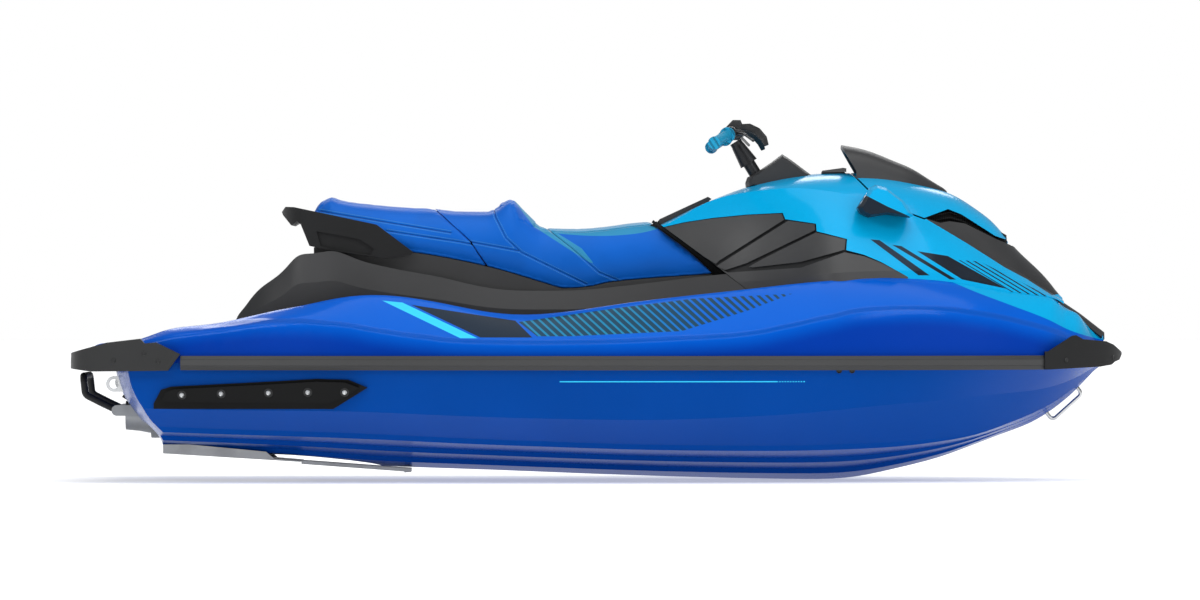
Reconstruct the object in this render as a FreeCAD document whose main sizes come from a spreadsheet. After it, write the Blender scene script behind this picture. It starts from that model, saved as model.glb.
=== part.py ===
import FreeCAD, Part
import Sketcher
import math
import os
from FreeCAD import Matrix, Placement, Rotation, Vector

# Runabout personal watercraft with a jet drive, in millimetres.
# Frame: +X to the bow, +Y to port, +Z up. The origin is amidships on the centre plane, at the
# height of the water when the craft floats at rest.
# Side outlines are pairs (along, up): along is a share of the length overall, counted from
# amidships, and up is a share of the height overall, counted from the water.

DIMENSIONS = (
    ("length_overall", 3350, "stern bumper to bow bumper"),
    ("height_overall", 1153, "keel to the top of the bar pad"),
    ("half_beam", 612.5, "centre plane to the outside of the rub rail"),
    ("rail_height", 109.5, "joint of hull and deck above the water"),
    ("rail_depth", 45, "rub rail, top to bottom"),
    ("rail_thickness", 17, "rub rail proud of the hull"),
    ("bumper_thickness", 30, "bow and stern bumpers proud of the hull"),
    ("strake_step", 14, "height of one bottom strake"),
    ("chine_step", 17, "height of the chine's outer face"),
    ("floor_thickness", 15.5, "footwell floor above the joint of hull and deck"),
    ("gunwale_width", 30, "top of the gunwale beside the footwell"),
    ("skin", 11, "moulded cowl panels"),
    ("panel_gap", 5, "seam between the hood and its neighbours"),
    ("seam", 2.5, "seam between fixed panels"),
    ("fit_gap", 0.3, "resting pieces of two moulds"),
    ("rail_bed", 6.0, "depth the rub rail is laid before its bed is cut"),
    ("overrun", 60, "how far a cutting tool passes the faces that it cuts"),
    ("bay_length", 780, "engine bay"),
    ("bay_width", 470, "engine bay"),
    ("bay_floor", 160, "engine bay floor below the water"),
    ("engine_length", 700, "engine block"),
    ("engine_width", 400, "engine block"),
    ("engine_height", 375, "engine block"),
    ("base_half_width", 272, "seat base at the footwell floor"),
    ("seat_half_width", 205, "widest part of the rear seat"),
    ("pump_drop", 62, "jet pump axis below the water"),
    ("pump_bore", 78.5, "radius of the pump's bore"),
    ("pump_wall", 7, "pump casting"),
    ("pump_inlet_reach", 285, "steering pivot to the pump's inlet flange"),
    ("pump_outlet_reach", 42, "steering pivot to the pump's outlet end"),
    ("outlet_bore", 43, "radius of the pump's outlet"),
    ("flange_radius", 102, "pump inlet flange"),
    ("flange_thickness", 12, "pump inlet flange"),
    ("hub_radius", 29, "stator and impeller hubs"),
    ("impeller_tip_gap", 1.2, "impeller blade tip to the pump's bore"),
    ("impeller_length", 62, "impeller hub"),
    ("blade_thickness", 6, "stator vanes and impeller blades"),
    ("shaft_radius", 12, "drive shaft"),
    ("shaft_clearance", 0.08, "drive shaft in its bearing"),
    ("ear_thickness", 8, "pivot ears of the pump"),
    ("ear_inner", 74, "pivot ears, centre plane to inner face"),
    ("pivot_radius", 7, "pivot pins of the jet's moving pieces"),
    ("pivot_clearance", 0.3, "pivot pins in their holes"),
    ("ring_bore", 63.5, "trim ring"),
    ("ring_wall", 9, "trim ring"),
    ("ring_length", 26, "trim ring along the jet"),
    ("nozzle_bore", 52, "steering nozzle at its bell"),
    ("nozzle_wall", 6, "steering nozzle"),
    ("nozzle_exit_bore", 40, "steering nozzle at its exit"),
    ("nozzle_length", 95, "steering pivot to the nozzle's exit"),
    ("nozzle_lead", 10, "nozzle bell ahead of the steering pivot"),
    ("bucket_radius", 113, "inside of the reverse bucket"),
    ("bucket_wall", 6, "reverse bucket"),
    ("bucket_half_width", 94, "outside of the reverse bucket's cheeks"),
    ("tunnel_half_width", 128, "recess for the jet in the stern"),
    ("tunnel_top", 74, "roof of that recess above the water"),
    ("plate_half_width", 146, "ride plate"),
    ("plate_thickness", 5, "ride plate"),
    ("grate_bar", 11, "intake grate bars"),
    ("grate_spacing", 38, "intake grate bars"),
    ("step_tube", 11, "radius of the boarding step's tube"),
    ("step_half_width", 178, "boarding step, centre plane to tube centre"),
    ("step_eye", 17, "outer radius of the boarding step's hinge eyes"),
    ("step_eye_width", 26, "boarding step's hinge eyes along their pin"),
    ("eye_radius", 25, "outer radius of the stern eyes"),
    ("eye_bore", 15, "hole of the stern eyes"),
    ("eye_thickness", 9, "stern eyes"),
    ("eye_half_spacing", 245, "stern eyes from the centre plane"),
    ("bow_eye_rod", 6, "radius of the bow eye's rod"),
    ("sponson_thickness", 36, "sponsons proud of the hull side"),
    ("column_radius", 20, "steering column"),
    ("bar_radius", 11, "handlebar tube"),
    ("bar_half_width", 392, "centre plane to the end of a grip"),
    ("grip_radius", 17, "hand grips"),
    ("grip_length", 128, "hand grips"),
    ("grip_collar", 25, "radius of the grip's end collar"),
    ("cover_half_width", 88, "steering cover"),
    ("tub_half_width", 165, "storage tub inside the bow"),
    ("tub_wall", 6, "storage tub and glovebox bin"),
    ("lid_half_width", 92, "glovebox lid"),
    ("lid_thickness", 13, "glovebox lid"),
    ("bin_depth", 150, "glovebox bin"),
    ("hinge_pin", 5, "radius of the hood's and lid's hinge pins"),
    ("visor_half_width", 150, "visor at its rear edge"),
    ("mirror_reach", 395, "centre plane to the mirror's outer face"),
    ("mat_thickness", 6, "deck mats"),
    ("cleat_length", 110, "mooring cleats"),
    ("cap_radius", 42, "fuel cap"),
)

DOCUMENT = FreeCAD.newDocument("personal_watercraft")
SHEET = DOCUMENT.addObject("Spreadsheet::Sheet", "Dimensions")


class Size:
    """A size of the sheet, or a sum of such sizes, as a number and as an expression."""

    def __init__(self, value, text):
        self.value = value
        self.text = text

    def __add__(self, other):
        return Size(self.value + number(other), "(%s + %s)" % (self.text, words(other)))

    def __radd__(self, other):
        return Size(number(other) + self.value, "(%s + %s)" % (words(other), self.text))

    def __sub__(self, other):
        return Size(self.value - number(other), "(%s - %s)" % (self.text, words(other)))

    def __rsub__(self, other):
        return Size(number(other) - self.value, "(%s - %s)" % (words(other), self.text))

    def __mul__(self, other):
        return Size(self.value * number(other), "(%s * %s)" % (self.text, words(other)))

    def __rmul__(self, other):
        return Size(number(other) * self.value, "(%s * %s)" % (words(other), self.text))

    def __truediv__(self, other):
        return Size(self.value / number(other), "(%s / %s)" % (self.text, words(other)))

    def __neg__(self):
        return Size(-self.value, "(0 - %s)" % self.text)


def number(size):
    """Give the plain number of a size or a number."""
    return size.value if isinstance(size, Size) else size


def words(size):
    """Give the expression of a size or a number."""
    return size.text if isinstance(size, Size) else repr(size)


class Sheet:
    """The driving dimensions by name."""

    def __getattr__(self, alias):
        return Size(float(SHEET.get(alias)), "Dimensions." + alias)


def fill_sheet():
    """Write the driving dimensions into the sheet, one row each."""
    for row, (alias, value, note) in enumerate(DIMENSIONS, start=1):
        SHEET.set("A%d" % row, alias)
        SHEET.set("B%d" % row, str(value))
        SHEET.setAlias("B%d" % row, alias)
        SHEET.set("C%d" % row, note)
    DOCUMENT.recompute()


fill_sheet()
D = Sheet()
LENGTH = D.length_overall
HEIGHT = D.height_overall
BEAM = D.half_beam - D.rail_thickness


# Curves of the form

class Curve:
    """A smooth line through chosen points, read as a value at a place along the craft."""

    def __init__(self, points):
        self.places = [place for place, _ in points]
        self.values = [value for _, value in points]
        self.slopes = self.find_slopes()

    def find_slopes(self):
        """Give a slope at each point that never overshoots its neighbours."""
        count = len(self.places)
        runs = [self.places[k + 1] - self.places[k] for k in range(count - 1)]
        rises = [(self.values[k + 1] - self.values[k]) / runs[k] for k in range(count - 1)]
        slopes = [rises[0]]
        for k in range(1, count - 1):
            before, after = rises[k - 1], rises[k]
            if before * after <= 0:
                slopes.append(0)
            else:
                weight_before = 2 * runs[k] + runs[k - 1]
                weight_after = runs[k] + 2 * runs[k - 1]
                total = weight_before + weight_after
                slopes.append(total / (weight_before / before + weight_after / after))
        slopes.append(rises[-1])
        return slopes

    def at(self, place):
        """Give the value at a place."""
        place = min(max(place, self.places[0]), self.places[-1])
        k = 0
        while k < len(self.places) - 2 and place > self.places[k + 1]:
            k += 1
        run = self.places[k + 1] - self.places[k]
        t = (place - self.places[k]) / run
        start, end = self.values[k], self.values[k + 1]
        return ((1 + 2 * t) * (1 - t) ** 2 * start + t * (1 - t) ** 2 * run * self.slopes[k]
                + t * t * (3 - 2 * t) * end + t * t * (t - 1) * run * self.slopes[k + 1])


# Heights above the water, as (along, up) shares
KEEL_SHARES = Curve([
    (-0.512, -0.142), (-0.463, -0.146), (-0.417, -0.152), (-0.320, -0.166), (-0.254, -0.183),
    (-0.213, -0.193), (-0.094, -0.2065), (0.0, -0.2175), (0.095, -0.226), (0.190, -0.2313),
    (0.237, -0.227), (0.280, -0.204), (0.322, -0.1735), (0.3635, -0.130), (0.389, -0.102),
    (0.406, -0.076), (0.4156, -0.071), (0.4365, -0.032), (0.459, 0.024), (0.474, 0.070),
    (0.482, 0.086)])
CHINE_SHARES = Curve([
    (-0.512, -0.066), (-0.463, -0.074), (-0.379, -0.084), (-0.246, -0.096), (-0.085, -0.117),
    (0.004, -0.125), (0.086, -0.131), (0.171, -0.132), (0.237, -0.128), (0.294, -0.121),
    (0.347, -0.106), (0.389, -0.074), (0.427, -0.028), (0.459, 0.034), (0.474, 0.073),
    (0.482, 0.088)])
KNUCKLE_SHARES = Curve([
    (-0.512, -0.020), (-0.374, -0.033), (-0.246, -0.036), (-0.170, -0.045), (-0.061, -0.056),
    (0.048, -0.060), (0.171, -0.046), (0.279, -0.018), (0.334, -0.0055), (0.380, 0.008),
    (0.418, 0.019), (0.448, 0.042), (0.470, 0.075), (0.482, 0.090)])
SHOULDER_SHARES = Curve([
    (-0.512, 0.112), (-0.463, 0.1375), (-0.432, 0.151), (-0.416, 0.160), (-0.348, 0.188),
    (-0.293, 0.206), (-0.257, 0.206), (-0.227, 0.197), (-0.192, 0.181), (-0.1445, 0.166),
    (-0.083, 0.1635), (0.038, 0.166), (0.110, 0.1745), (0.1645, 0.194), (0.2185, 0.226),
    (0.2555, 0.243), (0.283, 0.249), (0.338, 0.241), (0.392, 0.208), (0.437, 0.172),
    (0.460, 0.151), (0.482, 0.128)])
CREST_SHARES = Curve([
    (-0.512, 0.118), (-0.463, 0.1455), (-0.432, 0.161), (-0.416, 0.179), (-0.347, 0.211),
    (-0.316, 0.231), (-0.276, 0.255), (-0.227, 0.279), (-0.206, 0.2815), (-0.155, 0.261),
    (-0.110, 0.238), (-0.072, 0.227), (-0.037, 0.2335), (0.019, 0.2565), (0.137, 0.296),
    (0.2185, 0.320), (0.2915, 0.329), (0.3275, 0.319), (0.386, 0.292), (0.4185, 0.279),
    (0.432, 0.272), (0.460, 0.217), (0.482, 0.170)])
NOSE_TOP_SHARES = Curve([
    (-0.512, 0.118), (-0.463, 0.1455), (-0.432, 0.161), (-0.416, 0.179), (-0.347, 0.211),
    (-0.316, 0.231), (-0.276, 0.255), (-0.227, 0.279), (-0.206, 0.2815), (-0.155, 0.261),
    (-0.110, 0.238), (-0.072, 0.227), (-0.037, 0.2335), (0.019, 0.2565), (0.137, 0.296),
    (0.2185, 0.320), (0.2915, 0.329), (0.3275, 0.319), (0.386, 0.292), (0.4185, 0.281),
    (0.432, 0.285), (0.4412, 0.270), (0.460, 0.2195), (0.482, 0.1715)])

# Half-widths, as (along, across) shares, across counted in half-beams of the hull
PLAN_SHARES = Curve([
    (-0.512, 0.80), (-0.463, 0.845), (-0.400, 0.89), (-0.300, 0.945), (-0.190, 0.985),
    (-0.080, 1.0), (0.050, 1.0), (0.150, 0.968), (0.237, 0.90), (0.300, 0.81), (0.360, 0.68),
    (0.410, 0.53), (0.446, 0.395), (0.470, 0.275), (0.482, 0.19)])
CHINE_WIDTH_SHARES = Curve([
    (-0.512, 0.72), (-0.420, 0.74), (-0.250, 0.76), (0.0, 0.765), (0.100, 0.75), (0.171, 0.715),
    (0.237, 0.64), (0.294, 0.53), (0.347, 0.385), (0.389, 0.235), (0.420, 0.130), (0.446, 0.070),
    (0.482, 0.030)])
KNUCKLE_WIDTH_SHARES = Curve([
    (-0.512, 0.79), (-0.463, 0.82), (-0.420, 0.855), (-0.250, 0.93), (-0.100, 0.95),
    (0.050, 0.95), (0.171, 0.905), (0.237, 0.83), (0.294, 0.715), (0.347, 0.545),
    (0.380, 0.41), (0.420, 0.255), (0.446, 0.165), (0.470, 0.090), (0.482, 0.060)])
SHOULDER_WIDTH_SHARES = Curve([
    (-0.512, 0.775), (-0.463, 0.82), (-0.348, 0.90), (-0.227, 0.945), (-0.080, 0.970),
    (0.050, 0.970), (0.1645, 0.930), (0.2185, 0.88), (0.283, 0.80), (0.338, 0.70),
    (0.392, 0.55), (0.437, 0.395), (0.460, 0.295), (0.482, 0.165)])
CREST_WIDTH_SHARES = Curve([
    (-0.512, 0.70), (-0.463, 0.745), (-0.347, 0.80), (-0.227, 0.815), (-0.070, 0.83),
    (0.050, 0.825), (0.137, 0.80), (0.2185, 0.74), (0.2915, 0.64), (0.3275, 0.565),
    (0.386, 0.42), (0.432, 0.27), (0.460, 0.155), (0.482, 0.05)])

STERN_SHARE = -0.478
NOSE_SHARE = 0.482
HULL_STATION_SHARES = (
    STERN_SHARE, -0.430, -0.370, -0.300, -0.220, -0.130, -0.040, 0.050, 0.130, 0.190, 0.240,
    0.285, 0.325, 0.360, 0.390, 0.415, 0.437, 0.455, 0.470, NOSE_SHARE)


def along(share):
    """Give a place along the craft from its share of the length."""
    return number(LENGTH) * share


def up(share):
    """Give a height above the water from its share of the height."""
    return number(HEIGHT) * share


def across(share):
    """Give a place across the craft from its share of the hull's half-beam."""
    return number(BEAM) * share


def share_along(place):
    """Give the share of the length at a place along the craft."""
    return place / number(LENGTH)


def mirror_pairs(pairs):
    """Give a whole outline across the craft from the pairs (across, up) of its port half."""
    return [(-y, z) for y, z in reversed(pairs) if y > 0] + list(pairs)


# Shapes made from the curves

def edge_through(points):
    """Give a smooth edge through points, evenly timed, so that like sections loft together."""
    curve = Part.BSplineCurve()
    steps = [k / (len(points) - 1) for k in range(len(points))]
    curve.interpolate(Points=points, Parameters=steps)
    return curve.toShape()


def side_face(outline):
    """Give the flat face in the centre plane of a side outline of (along, up) shares."""
    corners = [Vector(along(x), 0, up(z)) for x, z in outline]
    return Part.Face(Part.makePolygon(corners + corners[:1]))


def side_prism(outline, half_width=None, start=None):
    """Give the solid that a side outline sweeps across the craft."""
    reach = number(half_width) if half_width is not None else number(D.half_beam + D.overrun)
    first = number(start) if start is not None else -reach
    face = side_face(outline)
    face.translate(Vector(0, first, 0))
    return face.extrude(Vector(0, reach - first, 0))


def plan_wire(pairs, height):
    """Give a closed level wire, smooth along each side, from (along, across) of its port side."""
    port = [Vector(x, y, height) for x, y in pairs]
    starboard = [Vector(x, -y, height) for x, y in reversed(pairs)]
    port_edge = edge_through(port)
    starboard_edge = edge_through(starboard)
    bow = Part.makeLine(port[-1], starboard[0])
    stern = Part.makeLine(starboard[-1], port[0])
    return Part.Wire([port_edge, bow, starboard_edge, stern])


def mirrored(shape):
    """Give the other side's copy of a shape."""
    return shape.mirror(Vector(0, 0, 0), Vector(0, 1, 0))


PIECES = []


def piece(label, shape):
    """Add a free-form piece to the document."""
    item = DOCUMENT.addObject("Part::Feature", label)
    item.Label = label
    item.Shape = shape
    item.Placement = Placement()
    PIECES.append(item)
    return item


# Forms of the hull, the deck and the body above the deck

def hull_half(share, grow):
    """Give the hull's port half section as (across, up), from the keel to above the joint."""
    fade = min(1, max(0.05, (0.400 - share) / 0.130))
    keel = up(KEEL_SHARES.at(share)) - grow
    chine_y = across(CHINE_WIDTH_SHARES.at(share)) + grow
    chine_z = up(CHINE_SHARES.at(share))
    step = number(D.strake_step) * fade
    low_z = max(chine_z - number(D.chine_step) * fade, keel + 3 * step)
    low_y = chine_y - number(D.chine_step) * fade * 0.5
    rise = low_z - keel - 2 * step
    inner_y, outer_y = low_y * 0.29, low_y * 0.62
    inner_z = keel + rise * 0.29
    outer_z = keel + rise * 0.62 + step
    lip = step * 0.5
    rail_y = across(PLAN_SHARES.at(share)) + grow
    knuckle_y = across(KNUCKLE_WIDTH_SHARES.at(share)) + grow
    knuckle_z = up(KNUCKLE_SHARES.at(share))
    over = number(D.rail_depth) / 3
    flare = min((rail_y - knuckle_y) * over / (number(D.rail_height) - knuckle_z), over * 2.5)
    return [(0, keel), (inner_y, inner_z), (inner_y + lip, inner_z + step),
            (outer_y, outer_z), (outer_y + lip, outer_z + step), (low_y, low_z),
            (chine_y, chine_z), (knuckle_y, knuckle_z),
            (rail_y + flare, number(D.rail_height) + over)]


def section_wire(place, pairs):
    """Give a closed wire across the craft through (across, up) corners."""
    corners = [Vector(place, y, z) for y, z in mirror_pairs(pairs)]
    return Part.makePolygon(corners + corners[:1])


def hull_form(grow=0):
    """Give the hull as a full solid, grown outwards by a wall where that is asked."""
    wires = [section_wire(along(share), hull_half(share, grow)) for share in HULL_STATION_SHARES]
    return Part.makeLoft(wires, True, False)


def deck_wire(share, grow=0):
    """Give the deck's section from just below the joint, rounded over the shoulder."""
    place = along(share)
    rail_y = across(PLAN_SHARES.at(share)) + grow
    ledge_z = number(D.rail_height + D.rail_depth / 2)
    shoulder = (across(SHOULDER_WIDTH_SHARES.at(share)) + grow, up(SHOULDER_SHARES.at(share)))
    crest = (across(CREST_WIDTH_SHARES.at(share)) + grow, up(CREST_SHARES.at(share)) + grow)
    top = up(NOSE_TOP_SHARES.at(share)) + grow
    ledge = (rail_y - (rail_y - shoulder[0]) * 0.15, ledge_z)
    foot = (rail_y * 2 - ledge[0], number(D.rail_height * 2) - ledge_z)
    lower = (ledge[0] - (ledge[0] - shoulder[0]) * 0.40, ledge_z + (shoulder[1] - ledge_z) * 0.55)
    middle = (shoulder[0] - (shoulder[0] - crest[0]) * 0.46,
              shoulder[1] + (crest[1] - shoulder[1]) * 0.58)
    turns = [foot, (rail_y, number(D.rail_height)), ledge, lower, shoulder, middle, crest]
    port = [Vector(place, y, z) for y, z in turns]
    starboard = [Vector(place, -y, z) for y, z in reversed(turns)]
    peak = Vector(place, 0, top)
    edges = [edge_through(port), Part.makeLine(port[-1], peak), Part.makeLine(peak, starboard[0]),
             edge_through(starboard), Part.makeLine(starboard[-1], port[0])]
    return Part.Wire(edges)


DECK_STATION_SHARES = (
    STERN_SHARE, -0.450, -0.428, -0.412, -0.380, -0.340, -0.300, -0.260, -0.220, -0.180, -0.130,
    -0.080, -0.030, 0.030, 0.090, 0.140, 0.190, 0.235, 0.275, 0.315, 0.355, 0.390, 0.415, 0.432,
    0.445, 0.460, NOSE_SHARE)


def deck_form(grow=0):
    """Give the deck as a full solid above the joint."""
    return Part.makeLoft([deck_wire(share, grow) for share in DECK_STATION_SHARES], True, False)


def trough_tool():
    """Give what is cut away for the rear platform and the footwells beside the seat."""
    front = 0.178
    stations = (-0.56, -0.463, -0.40, -0.347, -0.28, -0.227, -0.15, -0.07, 0.0, 0.05, 0.10, 0.145)
    floor = number(D.rail_height + D.floor_thickness)
    top = up(0.50)
    lower, upper = [], []
    for share in stations:
        crest_y = across(CREST_WIDTH_SHARES.at(share)) - number(D.gunwale_width)
        upper.append((along(share), crest_y + number(D.gunwale_width) * 0.4))
        lower.append((along(share), crest_y - number(D.gunwale_width)))
    for rows, nose in ((lower, 0.52), (upper, 0.60)):
        rows.append((along(front - 0.008), across(nose + 0.07)))
        rows.append((along(front), across(nose - 0.1)))
    wires = [plan_wire(lower, floor), plan_wire(upper, top)]
    return Part.makeLoft(wires, True, True)


# Body above the deck: the cowl from the seat's front edge to the nose
COWL_LOW_WIDTH_SHARES = Curve([
    (0.035, 0.395), (0.095, 0.405), (0.138, 0.46), (0.180, 0.60), (0.2185, 0.735), (0.256, 0.690),
    (0.294, 0.636), (0.342, 0.530), (0.389, 0.411), (0.4185, 0.312), (0.444, 0.215)])
COWL_LOW_SHARES = Curve([
    (0.035, 0.300), (0.095, 0.312), (0.138, 0.318), (0.180, 0.326), (0.2185, 0.340),
    (0.256, 0.346), (0.294, 0.348), (0.342, 0.330), (0.389, 0.302), (0.4185, 0.2875),
    (0.444, 0.262)])
COWL_BEND_WIDTH_SHARES = Curve([
    (0.035, 0.262), (0.095, 0.285), (0.138, 0.325), (0.180, 0.378), (0.2185, 0.425),
    (0.256, 0.445), (0.294, 0.430), (0.342, 0.355), (0.389, 0.255), (0.4185, 0.175),
    (0.444, 0.10)])
COWL_BEND_SHARES = Curve([
    (0.035, 0.462), (0.061, 0.475), (0.095, 0.527), (0.1066, 0.5425), (0.138, 0.564),
    (0.1555, 0.5715), (0.188, 0.576), (0.224, 0.565), (0.2545, 0.545), (0.294, 0.508),
    (0.342, 0.435), (0.389, 0.365), (0.4185, 0.312), (0.444, 0.266)])
COWL_TOP_SHARES = Curve([
    (0.035, 0.470), (0.061, 0.482), (0.095, 0.530), (0.1076, 0.545), (0.141, 0.581),
    (0.1825, 0.6095), (0.210, 0.6190), (0.237, 0.6204), (0.250, 0.6204), (0.282, 0.609),
    (0.315, 0.584), (0.3346, 0.565), (0.353, 0.536), (0.369, 0.502), (0.381, 0.472),
    (0.3875, 0.451), (0.395, 0.418), (0.408, 0.388), (0.422, 0.345), (0.437, 0.297),
    (0.444, 0.272)])
COWL_STATION_SHARES = (
    0.036, 0.062, 0.088, 0.110, 0.138, 0.165, 0.190, 0.2185, 0.245, 0.270, 0.294, 0.318, 0.342,
    0.362, 0.378, 0.390, 0.402, 0.4185, 0.432, 0.443)


def cowl_wire(share, inset):
    """Give the cowl's section: flared skirt, side, bend and crown, set in by a wall."""
    place = along(share)
    low_y = across(COWL_LOW_WIDTH_SHARES.at(share)) - inset
    low_z = up(COWL_LOW_SHARES.at(share))
    bend_y = across(COWL_BEND_WIDTH_SHARES.at(share)) - inset
    bend_z = up(COWL_BEND_SHARES.at(share)) - inset * 0.5
    top_z = up(COWL_TOP_SHARES.at(share)) - inset
    floor_z = number(D.rail_height + D.floor_thickness)
    foot_y = low_y + (low_z - floor_z) * 0.10
    mid_y = low_y + (bend_y - low_y) * 0.42
    mid_z = low_z + (bend_z - low_z) * 0.52
    side = [Vector(place, low_y, low_z), Vector(place, mid_y, mid_z), Vector(place, bend_y, bend_z)]
    crown = [Vector(place, bend_y, bend_z),
             Vector(place, bend_y * 0.55, bend_z + (top_z - bend_z) * 0.78),
             Vector(place, 0, top_z),
             Vector(place, -bend_y * 0.55, bend_z + (top_z - bend_z) * 0.78),
             Vector(place, -bend_y, bend_z)]
    foot = Vector(place, foot_y, floor_z)
    other_foot = Vector(place, -foot_y, floor_z)
    other_side = [Vector(v.x, -v.y, v.z) for v in reversed(side)]
    edges = [Part.makeLine(foot, side[0]), edge_through(side), edge_through(crown),
             edge_through(other_side), Part.makeLine(other_side[-1], other_foot),
             Part.makeLine(other_foot, foot)]
    return Part.Wire(edges)


def cowl_form(inset=0):
    """Give the body above the deck, from the seat to the nose, as a full solid."""
    wires = [cowl_wire(share, inset) for share in COWL_STATION_SHARES]
    return Part.makeLoft(wires, True, False)


# Seat base: lower moulding between the footwells
BASE_CREST_SHARES = Curve([
    (-0.3464, 0.205), (-0.335, 0.258), (-0.321, 0.302), (-0.303, 0.340), (-0.2917, 0.374),
    (-0.283, 0.393), (-0.272, 0.3955), (-0.254, 0.402), (-0.2336, 0.383), (-0.2045, 0.359),
    (-0.151, 0.330), (-0.119, 0.308), (-0.072, 0.2925), (-0.028, 0.2935), (0.038, 0.3115),
    (0.110, 0.3360), (0.178, 0.352)])
BASE_WIDTH_SHARES = Curve([
    (-0.3464, 0.36), (-0.300, 0.43), (-0.254, 0.455), (-0.200, 0.445), (-0.119, 0.415),
    (-0.028, 0.40), (0.038, 0.395), (0.110, 0.41), (0.178, 0.50)])
BASE_STATION_SHARES = (
    -0.3464, -0.3382, -0.330, -0.3195, -0.309, -0.2975, -0.286, -0.270, -0.254, -0.232, -0.210,
    -0.180, -0.150, -0.118, -0.086, -0.053, -0.020, 0.013, 0.046, 0.079, 0.112, 0.145, 0.178)


def base_wire(share, inset):
    """Give the seat base's section: foot, crease on its flank, crest and level top."""
    place = along(share)
    floor_z = number(D.rail_height + D.floor_thickness)
    crest_y = across(BASE_WIDTH_SHARES.at(share)) - inset
    crest_z = max(up(BASE_CREST_SHARES.at(share)) - inset, floor_z + number(D.skin))
    foot_y = crest_y + number(D.base_half_width) * 0.09
    crease_y = crest_y + number(D.base_half_width) * 0.10
    crease_z = floor_z + (crest_z - floor_z) * 0.72
    half = [(foot_y, floor_z), (crease_y, crease_z), (crest_y, crest_z)]
    return section_wire(place, half)


def base_form(inset=0):
    """Give the seat base as a full solid."""
    wires = [base_wire(share, inset) for share in BASE_STATION_SHARES]
    return Part.makeLoft(wires, True, False)


# Seam that runs down from the front edge of the seat, as a side outline behind it
SEAT_SEAM = [(0.0500, 0.492), (0.1085, 0.3655), (0.1385, 0.298), (0.1385, 0.05)]
BEHIND_SEAM = [(-0.55, 0.492)] + SEAT_SEAM + [(-0.55, 0.05)]


def shift(outline, forward, rise=0):
    """Move a side outline by a size along the craft and up."""
    dx = number(forward) / number(LENGTH)
    dz = number(rise) / number(HEIGHT)
    return [(x + dx, z + dz) for x, z in outline]


def box_between(low, high):
    """Give a box from its lowest to its highest corner."""
    corner = Vector(*[number(value) for value in low])
    spans = [number(b) - number(a) for a, b in zip(low, high)]
    return Part.makeBox(spans[0], spans[1], spans[2], corner)


# Jet drive places
JET_SHARE = -0.4254
JET_X = LENGTH * JET_SHARE
JET_Z = -D.pump_drop
BAY_CENTRE_SHARE = -0.018


TRANSOM_SHARES = [
    (-0.4637, 0.110), (-0.4600, 0.040), (-0.4517, -0.0127), (-0.4398, -0.058),
    (-0.4282, -0.088), (-0.4194, -0.121), (-0.4166, -0.165)]
TRANSOM_BOW_SHARE = 0.0185


def transom_tool(back=0):
    """Give what is cut from the stern to leave the raked transom, bowed across the craft."""
    reach = number(D.half_beam + D.overrun)
    wires = []
    for side in (-1, -0.62, 0, 0.62, 1):
        y = side * reach
        bow = TRANSOM_BOW_SHARE * (y / across(0.84)) ** 2
        line = [Vector(along(x + bow) - back, y, up(z)) for x, z in TRANSOM_SHARES]
        closing = [line[-1], Vector(line[-1].x, y, up(-0.30)), Vector(along(-0.60), y, up(-0.30)),
                   Vector(along(-0.60), y, line[0].z), line[0]]
        straight = [Part.makeLine(a, b) for a, b in zip(closing, closing[1:])]
        wires.append(Part.Wire([edge_through(line)] + straight))
    return Part.makeLoft(wires, True, False)


def joint_box(low, high):
    """Give a block as large as the craft between two heights."""
    beam = number(D.half_beam + D.overrun)
    return box_between((along(-0.6), -beam, low), (along(0.6), beam, high))


def hull():
    """Build the hull with its transom, jet tunnel, intake duct, shaft bore and engine bay."""
    solid = hull_form().cut(transom_tool())
    floor = -number(D.bay_floor)
    length, width = number(D.bay_length), number(D.bay_width)
    middle = along(BAY_CENTRE_SHARE)
    bay = Part.makeBox(length, width, number(D.rail_height) + number(D.overrun) - floor,
                       Vector(middle - length / 2, -width / 2, floor))
    jet_x, jet_z = number(JET_X), number(JET_Z)
    half = number(D.tunnel_half_width)
    inlet = jet_x + number(D.pump_inlet_reach)
    tunnel = box_between((along(-0.55), -half, up(-0.30)), (inlet, half, number(D.tunnel_top)))
    tunnel = tunnel.makeFillet(half * 0.35, [edge for edge in tunnel.Edges
                                             if edge.BoundBox.ZMin > number(D.tunnel_top) - 1
                                             and edge.BoundBox.XLength > length / 2])
    mouth = Part.Ellipse(Vector(along(-0.242), 0, up(-0.235)), half * 1.55, half * 0.88)
    throat = Part.Circle(Vector(inlet - 1, 0, jet_z), Vector(1, 0, 0), number(D.pump_bore))
    duct = Part.makeLoft([Part.Wire(throat.toShape()), Part.Wire(mouth.toShape())], True, False)
    bore = Part.makeCylinder(number(D.shaft_radius) * 1.5, middle - inlet,
                             Vector(inlet, 0, jet_z), Vector(1, 0, 0))
    above = joint_box(number(D.rail_height - D.fit_gap), number(D.rail_height + D.overrun))
    for tool in (above, bay, tunnel, duct, bore, tub_tool()):
        solid = solid.cut(tool)
    return solid


# Storage tub under the hood
TUB_OUTLINE = [(0.262, 0.520), (0.262, 0.215), (0.345, 0.190), (0.356, 0.215), (0.356, 0.385)]


def tub_outline(inset):
    """Give the tub's side outline, set in by a wall, open at its top."""
    wide, tall = number(inset) / number(LENGTH), number(inset) / number(HEIGHT)
    rear_top, rear_low, front_low, front_mid, front_top = TUB_OUTLINE
    return [(rear_top[0] + wide, rear_top[1]), (rear_low[0] + wide, rear_low[1] + tall),
            (front_low[0] - wide / 2, front_low[1] + tall), (front_mid[0] - wide, front_mid[1]),
            (front_top[0] - wide, front_top[1])]


def tub_tool():
    """Give the space that the storage tub takes out of the pieces around it."""
    return side_prism(tub_outline(-D.seam), D.tub_half_width + D.seam)


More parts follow.
